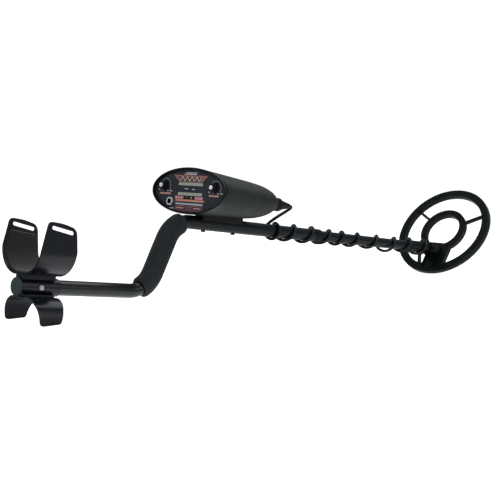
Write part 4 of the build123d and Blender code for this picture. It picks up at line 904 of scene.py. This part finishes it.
surface(
    "lcd_glass",
    linear(168, 171, 154),
    linear(178, 181, 164),
    patch_mm=9,
    rough=(0.18, 0.26),
    rough_mm=6,
    grains=((0.6, 0.1, 0.005, "noise"),),
    coat=0.3,
)
surface(
    "lcd_ink",
    linear(128, 132, 116),
    linear(134, 138, 122),
    patch_mm=2,
    rough=(0.3, 0.4),
    rough_mm=2,
    grains=((0.3, 0.1, 0.005, "noise"),),
)
surface(
    "key_membrane",
    linear(112, 70, 74),
    linear(124, 80, 82),
    patch_mm=4,
    rough=(0.4, 0.5),
    rough_mm=3,
    grains=((0.4, 0.3, 0.015, "noise"),),
)
INKS = {
    "ink_salmon": (146, 102, 98),
    "ink_field": (84, 60, 58),
    "ink_cream": (206, 186, 176),
    "ink_white": (232, 232, 228),
    "ink_grey": (150, 156, 160),
    "ink_orange": (186, 116, 98),
    "ink_label": (172, 130, 118),
    "ink_pink": (178, 108, 124),
    "ink_black": (20, 20, 24),
    "ink_blue": (160, 186, 196),
    "ink_brown": (220, 186, 172),
}
for ink, shade in INKS.items():
    paler = [min(255, value + INK_PALER) for value in shade]
    surface(
        ink,
        linear(*shade),
        linear(*paler),
        patch_mm=1.5,
        rough=(0.42, 0.55),
        rough_mm=1.5,
        grains=((0.18, 0.3, 0.01, "noise"),),
    )
surface(
    "clear_window",
    linear(168, 171, 155),
    linear(176, 179, 163),
    patch_mm=12,
    rough=(0.12, 0.2),
    rough_mm=8,
    grains=((0.6, 0.1, 0.004, "noise"),),
    coat=0.5,
)


def dress(piece, name):
    """Gives a piece one material on all its faces, and crisp edges where its faces meet steeply."""
    piece.data.materials.clear()
    piece.data.materials.append(MATERIALS[name])
    piece.data.set_sharp_from_angle(angle=SHARP_ANGLE)


NODE_LOOKS = {
    "tube_paint": ["s_rod", "lower_stem"],
    "cup_moulding": ["armrest"],
    "cap_slate": ["rear_cap"],
    "bright_steel": ["armrest_screw", "armrest_nut", "housing_nuts", "socket_nut"],
    "dark_steel": ["housing_screws"],
    "black_moulding": [
        "saddle", "stem_plug", "stem_bushing", "lock_collar", "coil_socket", "plug_ring", "plug_body",
        "headphone_jack", "battery_snaps", "pivot_bolt",
    ],
    "housing_plastic": ["housing_shell", "battery_door"],
    "panel_rim": ["face_panel"],
    "label_print": ["face_label"],
    "clear_window": ["display_windows"],
    "lcd_glass": ["display_modules"],
    "red_lens": ["indicator_led"],
    "knob_plastic": ["knob_left", "knob_right", "thumb_nut"],
    "white_plastic": ["knob_cap_left", "knob_cap_right"],
    "shaft_aluminium": ["pot_shaft_left", "pot_shaft_right"],
    "tinned_metal": ["potentiometers", "speaker_basket"],
    "solder_mask": ["circuit_board", "key_switches"],
    "key_membrane": ["key_left", "key_right"],
    "chromed_nut": ["jack_nut"],
    "speaker_paper": ["speaker_cone"],
    "battery_jacket": ["batteries"],
    "cable_jacket": ["inner_leads", "speaker_lead", "plug_boot"],
    "tip_moulding": ["stem_tip"],
    "coil_moulding": ["coil_top", "coil_bottom"],
    "copper_winding": ["transmit_winding", "receive_winding"],
    "gland_rubber": ["coil_gland", "pivot_washers"],
}
for look, names in NODE_LOOKS.items():
    for node_name in names:
        dress(frame["nodes"][node_name], look)
PIECE_LOOKS = {
    "coil_seam_highlight": "seam_highlight_paint",
    "coil_cable": "cable_jacket",
    "coil_cable_tail": "cable_jacket",
    "foam_sleeve": "foam_skin",
    "cup_lining": "pad_textile",
    "badge_frame": "ink_salmon",
    "badge_field": "ink_field",
    "badge_marks": "ink_cream",
    "face_print_white": "ink_white",
    "knob_scales": "ink_grey",
    "face_print_orange": "ink_orange",
    "face_print_labels": "ink_label",
    "face_print_pink": "ink_pink",
    "face_print_black": "ink_black",
    "face_print_keys": "ink_pink",
    "face_print_blue": "ink_blue",
    "face_print_icons": "ink_white",
    "face_print_ticks": "ink_brown",
    "display_segments": "lcd_ink",
    "key_print_left": "ink_cream",
    "key_print_right": "ink_cream",
}
for piece_name, look in PIECE_LOOKS.items():
    dress(bpy.data.objects[piece_name], look)

# ---------------------------------------------------------------- studio: pale sweep, soft lights
FLOOR_DROP = 0.0005
SWEEP_R, SWEEP_CORNER_R, SWEEP_HEIGHT = 6.0, 2.0, 5.0
SWEEP_SIDES, SWEEP_STEPS = 96, 16
SWEEP_GLOW = 0.86
WORLD_COLOUR, WORLD_STRENGTH = (0.8, 0.9, 1.0, 1), 0.22


def make_sweep():
    """A round floor that curves up into a wall far from the object, on every side."""
    flat = SWEEP_R - SWEEP_CORNER_R
    turns = [math.pi / 2 * k / SWEEP_STEPS for k in range(SWEEP_STEPS + 1)]
    profile = [(flat + SWEEP_CORNER_R * math.sin(t), SWEEP_CORNER_R * (1 - math.cos(t))) for t in turns]
    profile.append((SWEEP_R, SWEEP_HEIGHT))
    points, faces = [(0.0, 0.0, -FLOOR_DROP)], []
    for radius, height in profile:
        for side in range(SWEEP_SIDES):
            turn = 2 * math.pi * side / SWEEP_SIDES
            points.append((radius * math.cos(turn), radius * math.sin(turn), height - FLOOR_DROP))
    for side in range(SWEEP_SIDES):
        after = (side + 1) % SWEEP_SIDES
        faces.append((0, 1 + side, 1 + after))
        for ring in range(len(profile) - 1):
            low = 1 + ring * SWEEP_SIDES
            faces.append((low + side, low + SWEEP_SIDES + side, low + SWEEP_SIDES + after, low + after))
    return mesh_object("studio_sweep", points, faces)


sweep = make_sweep()
surface(
    "sweep_paper",
    linear(250, 250, 250),
    linear(252, 252, 252),
    patch_mm=400,
    rough=(0.9, 1.0),
    rough_mm=300,
    grains=(),
)
sweep_shader = MATERIALS["sweep_paper"].node_tree.nodes["Principled BSDF"]
sweep_shader.inputs["Emission Color"].default_value = (1, 1, 1, 1)
sweep_shader.inputs["Emission Strength"].default_value = SWEEP_GLOW
sweep_shader.inputs["Specular IOR Level"].default_value = 0.0
dress(sweep, "sweep_paper")
sweep.visible_diffuse = False
sweep.visible_glossy = False
sweep.visible_shadow = False


def soft_light(name, place, target, size, power):
    """A square soft box that faces a point."""
    data = bpy.data.lights.new(name, "AREA")
    data.shape = "SQUARE"
    data.size = size
    data.energy = power
    light = bpy.data.objects.new(name, data)
    light.location = place
    light.rotation_euler = (Vector(target) - Vector(place)).to_track_quat("-Z", "Y").to_euler()
    bpy.context.scene.collection.objects.link(light)
    return light


STUDIO_LIGHTS = (  # name, place, target, size in metres, power in watts
    ("key_light", (-1.9, -0.7, 1.5), (-0.2, 0, 0.1), 1.2, 22),
    ("side_light", (0.6, -2.0, 0.9), (0.2, 0, 0.1), 1.4, 8),
    ("top_light", (0.7, 0.0, 1.9), (0, 0, 0), 1.5, 12),
)
FLOOR_LIGHTS = (  # the light that the pale floor throws back, which the camera doesn't see
    ("floor_bounce", (0, 0, 0.001), (0, 0, 1), 3.0, 8),
    ("cup_bounce", (-0.38, -0.08, 0.002), (-0.38, -0.08, 1), 0.22, 0.12),
)
for setting in STUDIO_LIGHTS:
    soft_light(*setting)
for setting in FLOOR_LIGHTS:
    soft_light(*setting).visible_camera = False
world = bpy.data.worlds.new("studio")
world.use_nodes = True
world.node_tree.nodes["Background"].inputs["Color"].default_value = WORLD_COLOUR
world.node_tree.nodes["Background"].inputs["Strength"].default_value = WORLD_STRENGTH
bpy.context.scene.world = world
bpy.context.scene.view_settings.view_transform = "Standard"
